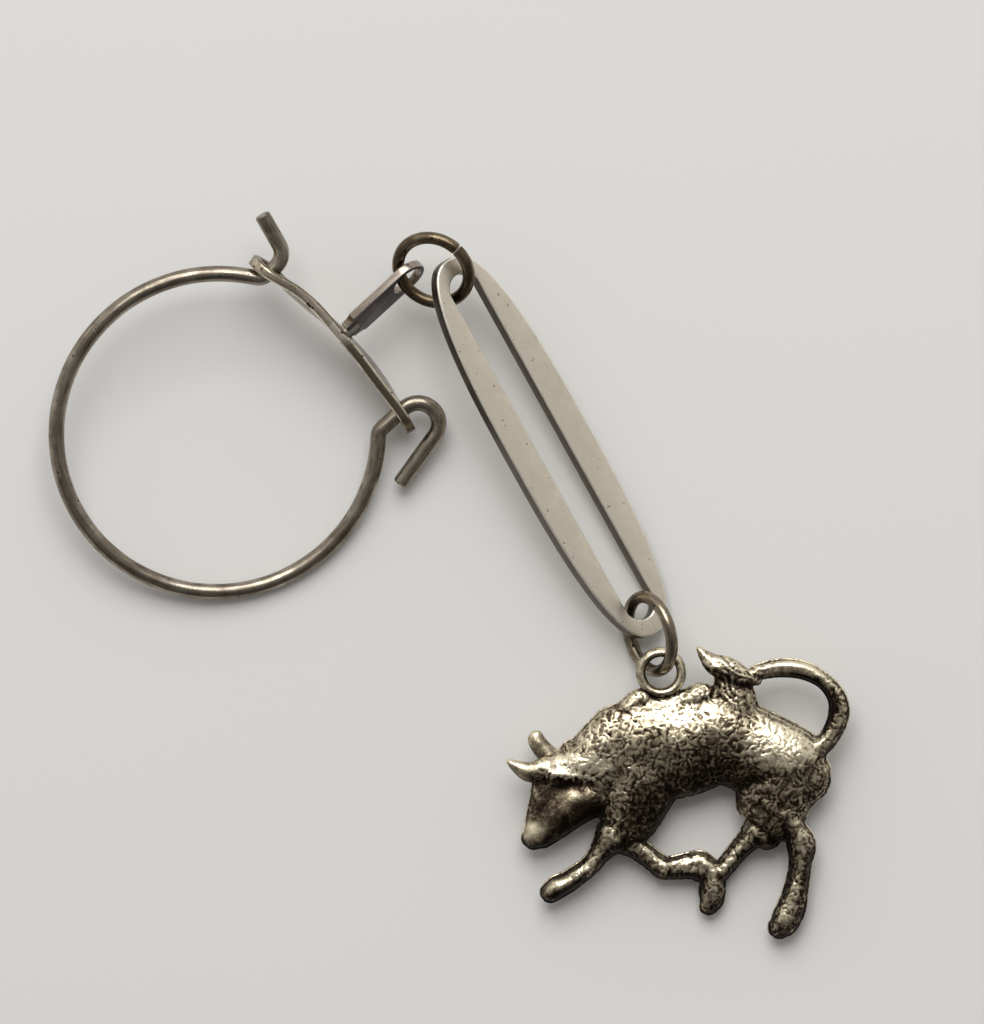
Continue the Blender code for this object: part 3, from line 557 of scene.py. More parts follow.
# The casting's skin. Heights and lengths are in millimetres, scales in cycles to the millimetre,
# and patches are ovals in shares of the bull's length and height: middle, then half sizes
PATCH_SLOPE = 1.6
NOISE_GAIN = 1.6
SWELL_HEIGHT, SWELL_SCALE, SWELL_LEAST = 0.05, 0.7, 0.4
PEBBLE_HEIGHT, PEBBLE_SCALE, PEBBLE_SMOOTHED = 0.10, 1.1, 0.5
CRINKLE_HEIGHT, CRINKLE_LIMITS = 0.034, (-0.9, 0.45)
CRINKLE_SCALE, FINE_CRINKLE_SCALE, FINE_CRINKLE_SHARE = 2.7, 4.6, 0.45
CRINKLE_BEND, CRINKLE_BEND_SCALE = 0.22, 1.3
CRINKLE_SMOOTHED, BROW_CRINKLE = 0.8, 0.9
PATCHY_LEVEL, PATCHY_REACH, PATCHY_SCALE = 0.8, 0.45, 0.8
HAIR_WANDER, HAIR_WANDER_SCALE = 0.34, 0.75
HAIR_RIPPLE, HAIR_RIPPLE_TURNS, HAIR_LEVEL = 0.07, 1.9, 0.3
SIDE_RELIEF, FACE_RELIEF, HIGHEST_RELIEF = 0.15, 1.6, 0.05
OFF_BAIL = (0.95, 1.1)
LEG_LINE = (0.42, 0.32)
TAIL_LIMB = (0.90, 0.82, 0.14, 0.15)
BROW = (0.20, 0.575, 0.10, 0.04)
THIGH = (0.76, 0.47, 0.17, 0.17)
SHOULDER = (0.33, 0.42, 0.11, 0.15)
# Smoother skin: cheek, muzzle, hoof, horn, far horn and tail
SMOOTH_PATCHES = ((0.17, 0.45, 0.12, 0.11), (0.09, 0.37, 0.06, 0.07), (0.15, 0.19, 0.06, 0.06),
                  (0.05, 0.58, 0.05, 0.05), (0.10, 0.66, 0.05, 0.06), (0.84, 0.92, 0.08, 0.06))
# Patches painted brighter, partly rubbed wear and partly a painted highlight on parts facing the
# light such as the back, rump and brow, and darker, partly patina and partly painted shade on
# parts such as the flank, belly and cheek, and by how much
WEAR_AND_LIGHT_PATCHES = ((0.50, 0.775, 0.17, 0.075, 0.08), (0.80, 0.66, 0.13, 0.095, 0.36),
                  (0.30, 0.70, 0.12, 0.07, 0.10), (0.21, 0.600, 0.11, 0.040, 0.72),
                  (0.66, 0.94, 0.10, 0.04, 0.14), (0.48, 0.60, 0.20, 0.09, -0.03),
                  (0.18, 0.46, 0.13, 0.10, -0.26), (0.62, 0.55, 0.16, 0.08, -0.10),
                  (0.43, 0.46, 0.10, 0.10, -0.24), (0.96, 0.78, 0.05, 0.11, -0.12),
                  (0.83, 0.92, 0.09, 0.04, 0.12), (0.085, 0.365, 0.040, 0.045, 0.30))
# Hair: a patch, then its heading in degrees, its pitch and its height
HAIR_PATCHES = ((0.625, 0.85, 0.075, 0.055, -58, 0.56, 0.032),
                (0.645, 0.925, 0.11, 0.06, -33, 0.66, 0.042))
# The casting's wear and painted light, from 0 to 1. Its wear: at its middle level, for each
# millimetre that it stands out of its near and its wide surroundings, and for its crinkles
WORN_LEVEL = 0.51
NEAR_ROUNDS, NEAR_WEAR = 8, 11
WIDE_ROUNDS, WIDE_WEAR = 70, 1.6
CRINKLE_WEAR = 0.15
BROW_CRINKLE_WEAR = 0.22
WEAR_CLOUDS = ((0.09, 0.22, 23.9), (0.08, 1.3, 31.3))
# Painted highlight on the sides facing the key light at +Y, and painted shade on the sides facing
# away
KEY_FACING_PAINTED_LIGHT = 0.30
# Steep sides are painted darker
STEEP_SIDE_DARKENING = 0.16
SIDE_FROM = (0.6, 0.15)
# The limbs: a lighter crest on their side toward the key light, partly rubbed wear and partly a
# painted highlight, and darker elsewhere, partly patina and partly painted shade
LIMB_TOP_FROM = (0.75, 1)
LIMB_CREST_WEAR_AND_SHEEN = 0.30
LIMB_PATINA_AND_SHADE = 0.20
LIMB_UPWARD = 0.35
# The tail is painted bright on its outer side, a painted highlight, and dark on its inner side,
# painted shade, told apart by an oval
TAIL = (0.92, 0.83, 0.13, 0.15)
TAIL_OVAL = (0.836, 0.80, 0.128, 0.122)
TAIL_OUTSIDE = (1.0, 1.14)
TAIL_INSIDE = (1.12, 0.9)
TAIL_HIGHLIGHT = 0.16
TAIL_SHADE = 0.30


def smooth_path(stations):
    """A form's stations with points between them, on a Catmull-Rom curve."""
    path = []
    last = len(stations) - 1
    for i in range(last):
        before, here = stations[max(i - 1, 0)], stations[i]
        after, beyond = stations[i + 1], stations[min(i + 2, last)]
        for step in range(LIMB_STEPS):
            t = step / LIMB_STEPS
            values = []
            for p0, p1, p2, p3 in zip(before, here, after, beyond):
                slope = (p2 - p0) * t
                curve = (2 * p0 - 5 * p1 + 4 * p2 - p3) * t ** 2
                turn = (3 * p1 - p0 - 3 * p2 + p3) * t ** 3
                values.append((2 * p1 + slope + curve + turn) / 2)
            path.append(tuple(values))
    path.append(stations[-1])
    return path


def add_limb(bm, path, shift, inset=0.0, fin=0.0, groove=0.0):
    """One form: a domed tube, or where fin is given a thin plate with the form's full outline."""
    sizes = BULL_LENGTH, BULL_HEIGHT, BULL_LENGTH, BULL_THICKNESS
    stations = smooth_path([tuple(value / 1000 * size for value, size in zip(station, sizes))
                            for station in path])
    shift = shift / 1000 * BULL_THICKNESS
    rings = []
    last = len(stations) - 1
    for i, (x, y, width, depth) in enumerate(stations):
        width -= inset
        before = stations[max(i - 1, 0)]
        after = stations[min(i + 1, last)]
        along = Vector((after[0] - before[0], after[1] - before[1], 0)).normalized()
        caps = [(0, 1)]
        if i == 0:
            caps = [(-reach, swell) for reach, swell in reversed(DOME_SHARES)] + caps
        elif i == last:
            caps += DOME_SHARES
        for reach, swell in caps:
            centre = Vector((x, y, shift)) + along * (width * reach)
            side = UP.cross(along)
            ring = []
            for turn in round_turns(LIMB_SIDES):
                across, up = math.cos(turn), math.sin(turn)
                if fin:
                    up = fin * math.copysign(min(1, abs(up) * FIN_FLATNESS), up)
                else:
                    up = depth * swell * math.copysign(abs(up) ** (1 - groove), up)
                    up *= 1 - groove * math.exp(-(across / GROOVE_WIDTH) ** 2)
                ring.append(centre + side * (width * swell * across) + UP * up)
            rings.append(ring)
    skin_rings(bm, rings)


def add_bail(bm):
    """The ring on the bull's back; its centre is returned."""
    centre = Vector((BAIL_CENTRE_SHARE[0] * BULL_LENGTH, BAIL_CENTRE_SHARE[1] * BULL_HEIGHT,
                     BAIL_LIFT))
    middle = (BAIL_HOLE_DIAMETER + BAIL_WALL) / 2
    rings = []
    for heading in round_turns(BAIL_STEPS):
        out = heading_vector(heading)
        ring = []
        for turn in round_turns(LIMB_SIDES):
            radius = middle + BAIL_ROUND_SHARE * BAIL_WALL / 2 * math.cos(turn)
            height = BAIL_ROUND_SHARE * BAIL_THICKNESS / 2 * math.sin(turn)
            ring.append(centre + out * radius + UP * height)
        rings.append(ring)
    skin_rings(bm, rings, closed=True)
    return centre


def fuse(obj, voxel, rounds):
    """Fuse the closed skins of an object into one skin and relax it."""
    fusing = obj.modifiers.new("fuse", 'REMESH')
    fusing.mode = 'VOXEL'
    fusing.voxel_size = voxel
    fusing.adaptivity = 0
    relax = obj.modifiers.new("relax", 'SMOOTH')
    relax.factor = 0.5
    relax.iterations = rounds
    bake_modifiers(obj, NEVER_SHARP)


def cast_bull(drop, world):
    """The forms melted into each other, then joined with the bail and a thin parting fin.

    The bail's centre is put at drop below the origin.
    """
    bm = bmesh.new()
    for i, (path, shift) in enumerate(BULL_FORMS):
        inset = FIN_REACH * (SLIM_INSET if i in SLIM_FORMS else 1)
        add_limb(bm, path, shift, inset=inset, groove=GROOVED_FORMS.get(i, 0))
    forms = new_object("forms", bm, world)
    fuse(forms, FORM_VOXEL, FORM_ROUNDS)
    bm = bmesh.new()
    bm.from_mesh(forms.data)
    bpy.data.objects.remove(forms, do_unlink=True)
    for i, (path, shift) in enumerate(BULL_FORMS):
        if i not in FINLESS_FORMS:
            add_limb(bm, path, shift, inset=FIN_TRIM, fin=FIN_HALF)
    centre = add_bail(bm)
    offset = Vector((0, -drop, 0)) - centre
    bmesh.ops.translate(bm, verts=bm.verts, vec=offset)
    bull = new_object("bull_casting", bm, world)
    fuse(bull, CAST_VOXEL, CAST_ROUNDS)
    roughen_casting(bull, offset)
    return bull


def inside_patch(x, y, patch):
    """How far a point is inside a soft oval patch of the casting, 1 at its middle."""
    cx, cy, rx, ry = patch
    far = ((x - cx) / rx) ** 2 + ((y - cy) / ry) ** 2
    return np.clip(PATCH_SLOPE * (1 - far), 0, 1)


def noise_at(points, scale, shift):
    """Smooth noise of about -1 to 1 at many points; each shift gives another pattern."""
    offset = Vector((shift, shift * 1.7, -shift))
    return np.array([noise.noise(Vector(p) * scale + offset) for p in points]) * NOISE_GAIN


def cellular_at(points, scale, shift):
    """How far each point is from the nearest of a set of scattered points."""
    offset = Vector((shift, shift * 1.7, -shift))
    return np.array([noise.voronoi(Vector(p) * scale + offset)[0][0] for p in points])


def mesh_arrays(mesh):
    """A mesh's points, normals and edges."""
    return (read_rows(mesh.vertices, "co", 3, np.float64),
            read_rows(mesh.vertex_normals, "vector", 3, np.float64),
            read_rows(mesh.edges, "vertices", 2, np.int64))


def neighbour_mean(points, edges):
    """The middle of each vertex's neighbours."""
    near, far = edges[:, 0], edges[:, 1]
    count = len(points)
    sums = [np.bincount(near, column[far], count) + np.bincount(far, column[near], count)
            for column in points.T]
    return np.stack(sums, axis=1) / np.bincount(edges.ravel(), minlength=count)[:, None]


def standing_out(points, normals, edges, rounds):
    """How far each vertex stands out of the surface smoothed over a number of rounds."""
    smooth = points
    for _ in range(rounds):
        smooth = (smooth + neighbour_mean(smooth, edges)) / 2
    return ((points - smooth) * normals).sum(axis=1)


def crinkle_at(local, smooth_skin, brow):
    """The casting's fine bent ridges, weaker on its smooth skin and stronger on the brow."""
    bend = [noise_at(local, CRINKLE_BEND_SCALE, shift) for shift in (51.7, 63.1, 77.9)]
    bent = local + CRINKLE_BEND * np.stack(bend, axis=1)
    fine = FINE_CRINKLE_SHARE * noise_at(bent, FINE_CRINKLE_SCALE, 5.9)
    crinkle = noise_at(bent, CRINKLE_SCALE, 11.7) + fine
    return crinkle * (1 - CRINKLE_SMOOTHED * smooth_skin + BROW_CRINKLE * brow)


def hair_at(local, x, y):
    """The height of the hair's strands at the rump and the tuft."""
    hair = np.zeros(len(x))
    for *patch, degrees, pitch, height in HAIR_PATCHES:
        heading = math.radians(degrees)
        out_x, out_y = (x - patch[0]) * BULL_LENGTH, (y - patch[1]) * BULL_HEIGHT
        along = out_x * math.cos(heading) + out_y * math.sin(heading)
        across = out_y * math.cos(heading) - out_x * math.sin(heading)
        wander = HAIR_WANDER * noise_at(local, HAIR_WANDER_SCALE, 17.3)
        wander += HAIR_RIPPLE * np.sin(along / MM * HAIR_RIPPLE_TURNS)
        strands = np.sin((across / MM / pitch + wander / pitch) * math.tau)
        hair += height * (strands - HAIR_LEVEL) * inside_patch(x, y, patch)
    return hair


def relief_at(local, x, y, normals, legs, smooth_skin, crinkle):
    """How far the casting's skin stands out of its melted forms."""
    coarse = np.maximum.reduce([legs, inside_patch(x, y, THIGH), inside_patch(x, y, SHOULDER)])
    swell = SWELL_HEIGHT * noise_at(local, SWELL_SCALE, 3.1)
    relief = swell * (SWELL_LEAST + (1 - SWELL_LEAST) * coarse)
    pebble = 0.5 - np.minimum(cellular_at(local, PEBBLE_SCALE, 8.3), 1)
    relief += PEBBLE_HEIGHT * pebble * coarse * (1 - PEBBLE_SMOOTHED * smooth_skin)
    patchy = PATCHY_LEVEL + PATCHY_REACH * noise_at(local, PATCHY_SCALE, 41.3)
    relief += CRINKLE_HEIGHT * patchy * np.clip(crinkle, *CRINKLE_LIMITS)
    relief += hair_at(local, x, y)
    facing = np.clip(SIDE_RELIEF + np.abs(normals[:, 2]) * FACE_RELIEF, 0, 1)
    from_bail = np.hypot((x - BAIL_CENTRE_SHARE[0]) * BULL_LENGTH,
                         (y - BAIL_CENTRE_SHARE[1]) * BULL_HEIGHT)
    off_bail = smooth_step(*OFF_BAIL, from_bail / (BAIL_HOLE_DIAMETER / 2 + BAIL_WALL))
    return np.minimum(relief * facing * off_bail, HIGHEST_RELIEF)


def wear_and_light_at(local, x, y, form_normals, legs, brow, crinkle, stands_out):
    """Wear and painted light at each point: 0 in dark hollows and shade, 1 on rubbed heights and
    highlights.
    """
    near, wide = stands_out
    wear_and_light = WORN_LEVEL + near * NEAR_WEAR + wide * WIDE_WEAR + CRINKLE_WEAR * crinkle
    for share, scale, shift in WEAR_CLOUDS:
        wear_and_light += share * noise_at(local, scale, shift)
    # The tail's outer side gets a painted highlight and its inner side painted shade
    tail_x, tail_y, tail_rx, tail_ry = TAIL_OVAL
    reach = np.hypot((x - tail_x) / tail_rx, (y - tail_y) / tail_ry)
    outside = TAIL_HIGHLIGHT * smooth_step(*TAIL_OUTSIDE, reach)
    wear_and_light += inside_patch(x, y, TAIL) * (outside - TAIL_SHADE * smooth_step(*TAIL_INSIDE, reach))
    wear_and_light += BROW_CRINKLE_WEAR * brow * crinkle
    lit, flat = form_normals[:, 1], np.abs(form_normals[:, 2])
    # Painted light: brighter toward the key light's side, darker facing away; steep sides darker
    wear_and_light += KEY_FACING_PAINTED_LIGHT * lit - STEEP_SIDE_DARKENING * smooth_step(*SIDE_FROM, flat)
    # Limb crests: partly rubbed wear, partly a painted highlight toward the light; the rest of the
    # limbs darker, partly patina, partly painted shade
    limbs = np.maximum(legs, inside_patch(x, y, TAIL_LIMB))
    limb_top = smooth_step(*LIMB_TOP_FROM, flat + LIMB_UPWARD * lit)
    wear_and_light += limbs * (LIMB_CREST_WEAR_AND_SHEEN * limb_top - LIMB_PATINA_AND_SHADE)
    # Patches painted brighter and darker: partly wear and patina, partly painted highlight and
    # shade
    for *patch, more in WEAR_AND_LIGHT_PATCHES:
        wear_and_light += more * inside_patch(x, y, patch)
    return np.clip(wear_and_light, 0, 1).astype(np.float32)


def roughen_casting(bull, offset):
    """Crinkle and lump the casting's skin, cut its hair, and store each point's wear and painted
    light.
    """
    mesh = bull.data
    form_points, form_normals, edges = mesh_arrays(mesh)
    local = (form_points - np.array(offset)) / MM
    x = local[:, 0] * MM / BULL_LENGTH
    y = local[:, 1] * MM / BULL_HEIGHT
    smooth_skin = np.maximum.reduce([inside_patch(x, y, patch) for patch in SMOOTH_PATCHES])
    legs = smooth_step(*LEG_LINE, y)
    brow = inside_patch(x, y, BROW)
    crinkle = crinkle_at(local, smooth_skin, brow)
    relief = relief_at(local, x, y, form_normals, legs, smooth_skin, crinkle)
    mesh.vertices.foreach_set("co", (form_points + form_normals * (relief * MM)[:, None]).ravel())
    mesh.update()
    points, normals, edges = mesh_arrays(mesh)
    stands_out = [standing_out(points, normals, edges, rounds) / MM
                  for rounds in (NEAR_ROUNDS, WIDE_ROUNDS)]
    wear_and_light = wear_and_light_at(local, x, y, form_normals, legs, brow, crinkle, stands_out)
    mesh.attributes.new("wear_and_light", 'FLOAT', 'POINT').data.foreach_set("value", wear_and_light)


# The chain: where each piece sits, worked out as in the CAD model

def build_ring_and_bar():
    """The key ring and the hasp strip, and the place where the strip stands."""
    tilt = Matrix.Rotation(RING_TILT, 3, heading_vector(RING_TILT_HEADING))
    ring_world = frame_at((RING_LEFT, RING_HEIGHT, 0), tilt @ heading_vector(GAP_HEADING),
                          tilt @ UP)
    points, eye_x = key_ring_points()
    bar_world = ring_world @ Matrix.Translation((eye_x, -HASP_SHIFT, 0))
    joints = {joint["name"]: joint for joint in frame["joints"]}
    settle = Matrix.Translation(Vector(joints["hasp_rock"]["pos_m"]) - bar_world.translation)
    bar_world = settle @ bar_world
    ring = new_object("ring_wire", flat_wire(points, WIRE_RADIUS, WIRE_END_CHAMFER),
                      settle @ ring_world)

    bar = new_object("hasp_strip", hasp_bar_mesh(), bar_world)
    half = BAR_THICKNESS / 2
    eye = bore_profile(half, EYE_DIAMETER / 2)
    cutters = [turned(name, eye, bar_world @ eye_frame(side))
               for name, side in (("upper", 1), ("lower", -1))]
    (head_x, head), neck = countersunk_profile(SWIVEL_CLEARANCE)
    sink = [(head_x - MM, head), (head_x, head), neck, (half + MM, neck[1])]
    cutters.append(turned("sink", sink, bar_world @ Matrix.Translation((BAR_BOW, 0, 0))))
    combine(bar, cutters, 'DIFFERENCE')
    return ring, bar, bar_world


def build_shank(bar_world):
    """The tongue with its pin and its eye, and its place."""
    world = (bar_world @ Matrix.Translation((BAR_BOW, 0, 0))
             @ Matrix.Rotation(SWIVEL_TURN, 4, 'X'))
    shank = new_object("swivel_tongue", shank_mesh(), world)
    bevel_edges(shank, SHANK_EDGE_BEVEL)
    pin = countersunk_profile(0)
    pin.append((SHANK_START + SHANK_FOOT_LENGTH, pin[-1][1]))
    combine(shank, [turned("pin", pin, world)], 'UNION')
    eye_world = world @ frame_at((SHANK_EYE_X, 0, 0), UP, (1, 0, 0))
    profile = bore_profile(SHANK_THICKNESS / 2, SHANK_EYE_DIAMETER / 2)
    combine(shank, [turned("eye", profile, eye_world)], 'DIFFERENCE')
    return shank, world


def build_link(seat):
    """The oval link on the upper ring, and where the lower ring rests in its slot."""
    along = heading_vector(LINK_HEADING) * math.cos(LINK_PITCH) - UP * math.sin(LINK_PITCH)
    normal = Matrix.Rotation(-LINK_ROLL, 3, along) @ (UP - along * along.z)
    world = frame_at(seat, along, normal)
    slot_round = SLOT_WIDTH / 2
    slack = slot_round - JUMP_WIRE_RADIUS - FIT_CLEARANCE
    middle_x = SLOT_HALF_LENGTH - slot_round - slack / 4
    middle_y = slack / 3
    bm = link_mesh()
    bmesh.ops.translate(bm, verts=bm.verts, vec=(middle_x, middle_y, 0))
    link = new_object("slotted_link", bm, world)
    bevel_edges(link, LINK_BEVEL)
    next_x = middle_x + SLOT_HALF_LENGTH - slot_round - slack / 5
    return link, world @ Vector((next_x, middle_y - slack / 2, 0))


def build_pieces():
    ring, bar, bar_world = build_ring_and_bar()
    shank, shank_world = build_shank(bar_world)

    slack = SHANK_EYE_DIAMETER / 2 - JUMP_WIRE_RADIUS - FIT_CLEARANCE
    seat = shank_world @ Vector((SHANK_EYE_X - slack / 2, -slack / 4, 0))
    upper, seat = jump_ring(*UPPER_JUMP, seat, LINK_SEAT)
    link, seat = build_link(seat)
    lower, seat = jump_ring(*LOWER_JUMP, seat, BULL_SEAT)
    slack = BAIL_HOLE_DIAMETER / 2 - JUMP_WIRE_RADIUS - FIT_CLEARANCE
    bull = cast_bull(slack / 3, frame_at(seat, (1, 0, 0),
                                         Matrix.Rotation(BULL_TILT, 3, 'X') @ UP))

    pieces = ring, bar, shank, upper, link, lower, bull
    for piece in pieces:
        settle_piece(piece, strip_painted_light if piece is bar else plain_wall)
    return pieces


# Materials. Colours are linear, and scales are in cycles to the metre

FINE_GRAIN = 5200
ALONG_WIRE = (500, FINE_GRAIN, FINE_GRAIN)
ALONG_STRIP = (FINE_GRAIN, 420, FINE_GRAIN)
ALONG_TONGUE = (420, FINE_GRAIN, FINE_GRAIN)
ALONG_LINK = (900, FINE_GRAIN, FINE_GRAIN)
BLOTCHES = (420, 420, 420)
SPECKS = (2300, 2300, 2300)
SCRATCHES = (6500, 6500, 6500)
CLOUDS = (900, 900, 900)
GRIT = (FINE_GRAIN, FINE_GRAIN, FINE_GRAIN)
DRAWN_TONES = (0.36, 0.50, 0.64)
DULL_TO_BRIGHT, DULLER, SHINIER = (0.35, 0.65), 0.12, 0.07
NICK_SOFTNESS, NICK_LIGHTNESS, NICK_ROUGHNESS = 0.05, 0.3, 0.25
DRAWN_BUMP = 0.000012
CAST_BUMP = 0.00003
CAST_TONES, CAST_ROUGHNESS = (0.2, 0.8), (0.55, 0.26)
# How far a face is turned away where the edge's and the wall's colours come in, and how fully
# The edge colour paints a highlight on rounded edges and bevels; the wall colour paints shade on
# the strip's outer side and the link's slot walls, and a highlight on the tongue's walls
EDGE_COVER = (0.02, 0.12, 0, 0.85)
WALL_COVER = (0.55, 0.95, 0, 0.92)
# Each drawn metal: its dark, middle and bright colours, its roughness, the scales and share of
# its drawing lines, its share of nicks, and its edge and wall colours where they differ, which
# are painted highlights on the edges and painted light and shade on the walls
DRAWN_METALS = {
    "spring_steel_wire": (((0.115, 0.092, 0.07), (0.26, 0.223, 0.175), (0.46, 0.41, 0.335)),
                          0.25, ALONG_WIRE, 0.5, 0.33),
    # The strip's edge colour is a painted highlight and its wall colour is painted shade, placed
    # by the strip's wall values
    "nickel_strip_face": (((0.17, 0.135, 0.095), (0.47, 0.405, 0.31), (0.84, 0.76, 0.60)),
                          0.27, ALONG_STRIP, 0.5, 0.38,
                          (0.95, 0.88, 0.72), (0.15, 0.115, 0.075)),
    # The tongue's face is painted dark as shade and reflection; its edge colour is a painted
    # highlight and its wall colour a lighter painted band
    "nickel_tongue_shade_and_highlight": (((0.013, 0.007, 0.006), (0.028, 0.016, 0.013), (0.065, 0.044, 0.037)),
                           0.25, ALONG_TONGUE, 0.5, 0.33,
                           (0.72, 0.64, 0.56), (0.34, 0.285, 0.24)),
    "aged_ring_wire": (((0.045, 0.030, 0.018), (0.12, 0.088, 0.054), (0.28, 0.228, 0.155)),
                       0.24, ALONG_WIRE, 0.5, 0.36),
    # A lighter copy of the jump ring wire, for the lower jump ring
    "lighter_ring_wire": (((0.080, 0.060, 0.042), (0.21, 0.172, 0.125), (0.44, 0.385, 0.30)),
                         0.24, ALONG_WIRE, 0.5, 0.36),
    # The link's edge colour is a painted highlight on its bevels, and its wall colour is painted
    # shade on its slot walls and sides
    "satin_link_face": (((0.66, 0.60, 0.49), (0.76, 0.69, 0.57), (0.86, 0.79, 0.66)),
                        0.36, ALONG_LINK, 0.3, 0.32,
                        (0.95, 0.91, 0.81), (0.05, 0.033, 0.023)),
}
# The casting's colours, from its dark patina and painted shade to its rubbed heights and painted
# highlights
PATINA_AND_SHEEN = ((0.22, (0.013, 0.009, 0.006)), (0.42, (0.071, 0.050, 0.033)),
          (0.57, (0.215, 0.178, 0.122)), (0.80, (0.56, 0.488, 0.34)), (1.0, (0.90, 0.80, 0.60)))
# Each piece's CAD node, slot in the record and material, in the order that they are built
LOOKS = (("key_ring", "spring_steel", "spring_steel_wire"),
         ("hasp_bar", "nickel_strip", "nickel_strip_face"),
         ("swivel_shank", "nickel_strip", "nickel_tongue_shade_and_highlight"),
         ("upper_jump_ring", "aged_jump_ring", "aged_ring_wire"),
         ("oval_link", "satin_link", "satin_link_face"),
         ("lower_jump_ring", "aged_jump_ring", "lighter_ring_wire"),
         ("bull", "antique_pewter", "antique_pewter_cast"))


class Nodes:
    """A node tree that is built up by calls which return a node's output."""

    def __init__(self, tree):
        self.tree = tree

    def add(self, kind, **settings):
        node = self.tree.nodes.new(kind)
        for name, value in settings.items():
            setattr(node, name, value)
        return node

    def link(self, output, socket):
        if isinstance(output, (int, float)):
            socket.default_value = output
        else:
            self.tree.links.new(output, socket)

    def math(self, operation, first, second, clamp=False):
        node = self.add("ShaderNodeMath", operation=operation, use_clamp=clamp)
        self.link(first, node.inputs[0])
        self.link(second, node.inputs[1])
        return node.outputs["Value"]

    def ramp(self, value, stops):
        """A colour ramp through (position, colour) stops."""
        node = self.add("ShaderNodeValToRGB")
        elements = node.color_ramp.elements
        while len(elements) < len(stops):
            elements.new(0.5)
        for element, (position, colour) in zip(elements, stops):
            element.position = position
            element.color = (*colour, 1)
        self.link(value, node.inputs["Fac"])
        return node.outputs["Color"]

    def range(self, value, low, high, to_low, to_high):
        node = self.add("ShaderNodeMapRange", clamp=True)
        for name, number in (("From Min", low), ("From Max", high),
                             ("To Min", to_low), ("To Max", to_high)):
            node.inputs[name].default_value = number
        self.link(value, node.inputs["Value"])
        return node.outputs["Result"]


class Metal(Nodes):
    """A metal's node tree, whose patterns follow the piece's own grain."""

    def __init__(self, name, roughness):
        self.mat = bpy.data.materials.new(name)
        self.mat.use_nodes = True
        super().__init__(self.mat.node_tree)
        self.shader = self.tree.nodes["Principled BSDF"]
        self.shader.inputs["Metallic"].default_value = 1
        self.shader.inputs["Roughness"].default_value = roughness
        self.grain = self.attribute("grain").outputs["Vector"]

    def attribute(self, name):
        return self.add("ShaderNodeAttribute", attribute_name=name)

    def weigh(self, first, share, second, second_share):
        return self.math('ADD', self.math('MULTIPLY', first, share),
                         self.math('MULTIPLY', second, second_share))

    def sway(self, value, pattern, share, clamp=False):
        """The value with a pattern's rise and fall about its middle added."""
        swing = self.math('MULTIPLY', self.math('SUBTRACT', pattern, 0.5), share)
        return self.math('ADD', value, swing, clamp)

    def noise(self, scale, detail, roughness, distortion=0.0):
        """Noise with its own scale along each of the grain's axes."""
        mapping = self.add("ShaderNodeMapping", vector_type='POINT')
        mapping.inputs["Scale"].default_value = scale
        self.link(self.grain, mapping.inputs["Vector"])
        node = self.add("ShaderNodeTexNoise")
        for name, number in (("Scale", 1), ("Detail", detail), ("Roughness", roughness),
                             ("Distortion", distortion)):
            node.inputs[name].default_value = number
        self.link(mapping.outputs["Vector"], node.inputs["Vector"])
        return node.outputs["Fac"]

    def cover(self, colour, factor, with_colour):
        node = self.add("ShaderNodeMix", data_type='RGBA')
        self.link(factor, node.inputs["Factor"])
        self.link(colour, node.inputs["A"])
        node.inputs["B"].default_value = (*with_colour, 1)
        return node.outputs["Result"]

    def finish(self, colour, roughness, height, distance):
        self.link(colour, self.shader.inputs["Base Color"])
        self.link(roughness, self.shader.inputs["Roughness"])
        bump = self.add("ShaderNodeBump")
        bump.inputs["Strength"].default_value = 1
        bump.inputs["Distance"].default_value = distance
        self.link(height, bump.inputs["Height"])
        self.link(bump.outputs["Normal"], self.shader.inputs["Normal"])
        return self.mat


def drawn_metal(name, tones, roughness, drawn, line_share, nick_share, edge=None, wall=None):
    """Metal with lengthwise drawing lines, blotches of tarnish, fine scratches and dark nicks."""
    metal = Metal(name, roughness)
    lines = metal.noise(drawn, 5, 0.6)
    blotches = metal.noise(BLOTCHES, 5, 0.6, 0.4)
    specks = metal.noise(SPECKS, 3, 0.5)
    scratches = metal.noise(SCRATCHES, 2, 0.5)
    tone = metal.weigh(blotches, 1 - line_share, lines, line_share)
    colour = metal.ramp(tone, tuple(zip(DRAWN_TONES, tones)))
    # Where a face turns away, the edge colour is a painted highlight and the wall colour painted
    # light and shade
    turned_away = metal.attribute("wall").outputs["Fac"]
    for cover, other in ((EDGE_COVER, edge), (WALL_COVER, wall)):
        if other:
            colour = metal.cover(colour, metal.range(turned_away, *cover), other)
    nicks = metal.range(specks, nick_share, nick_share - NICK_SOFTNESS, 0, 1)
    colour = metal.cover(colour, nicks, tuple(c * NICK_LIGHTNESS for c in tones[0]))
    rough = metal.range(tone, *DULL_TO_BRIGHT, roughness + DULLER, roughness - SHINIER)
    rough = metal.math('ADD', rough, metal.math('MULTIPLY', nicks, NICK_ROUGHNESS), clamp=True)
    height = metal.math('SUBTRACT', metal.weigh(lines, 0.5, scratches, 0.25), nicks)
    return metal.finish(colour, rough, height, DRAWN_BUMP)


def antique_casting(name):
    """Pewter whose dark patina is rubbed off where it stands out, with painted light and shade."""
    metal = Metal(name, 0.4)
    wear_and_light = metal.attribute("wear_and_light").outputs["Fac"]
    cloud = metal.noise(CLOUDS, 5, 0.6, 0.3)
    grit = metal.noise(GRIT, 3, 0.6)
    tone = metal.sway(metal.sway(wear_and_light, cloud, 0.5), grit, 0.5, clamp=True)
    rough = metal.range(tone, *CAST_TONES, *CAST_ROUGHNESS)
    return metal.finish(metal.ramp(tone, PATINA_AND_SHEEN), rough, metal.weigh(grit, 0.6, cloud, 0.4),
                        CAST_BUMP)


# Studio

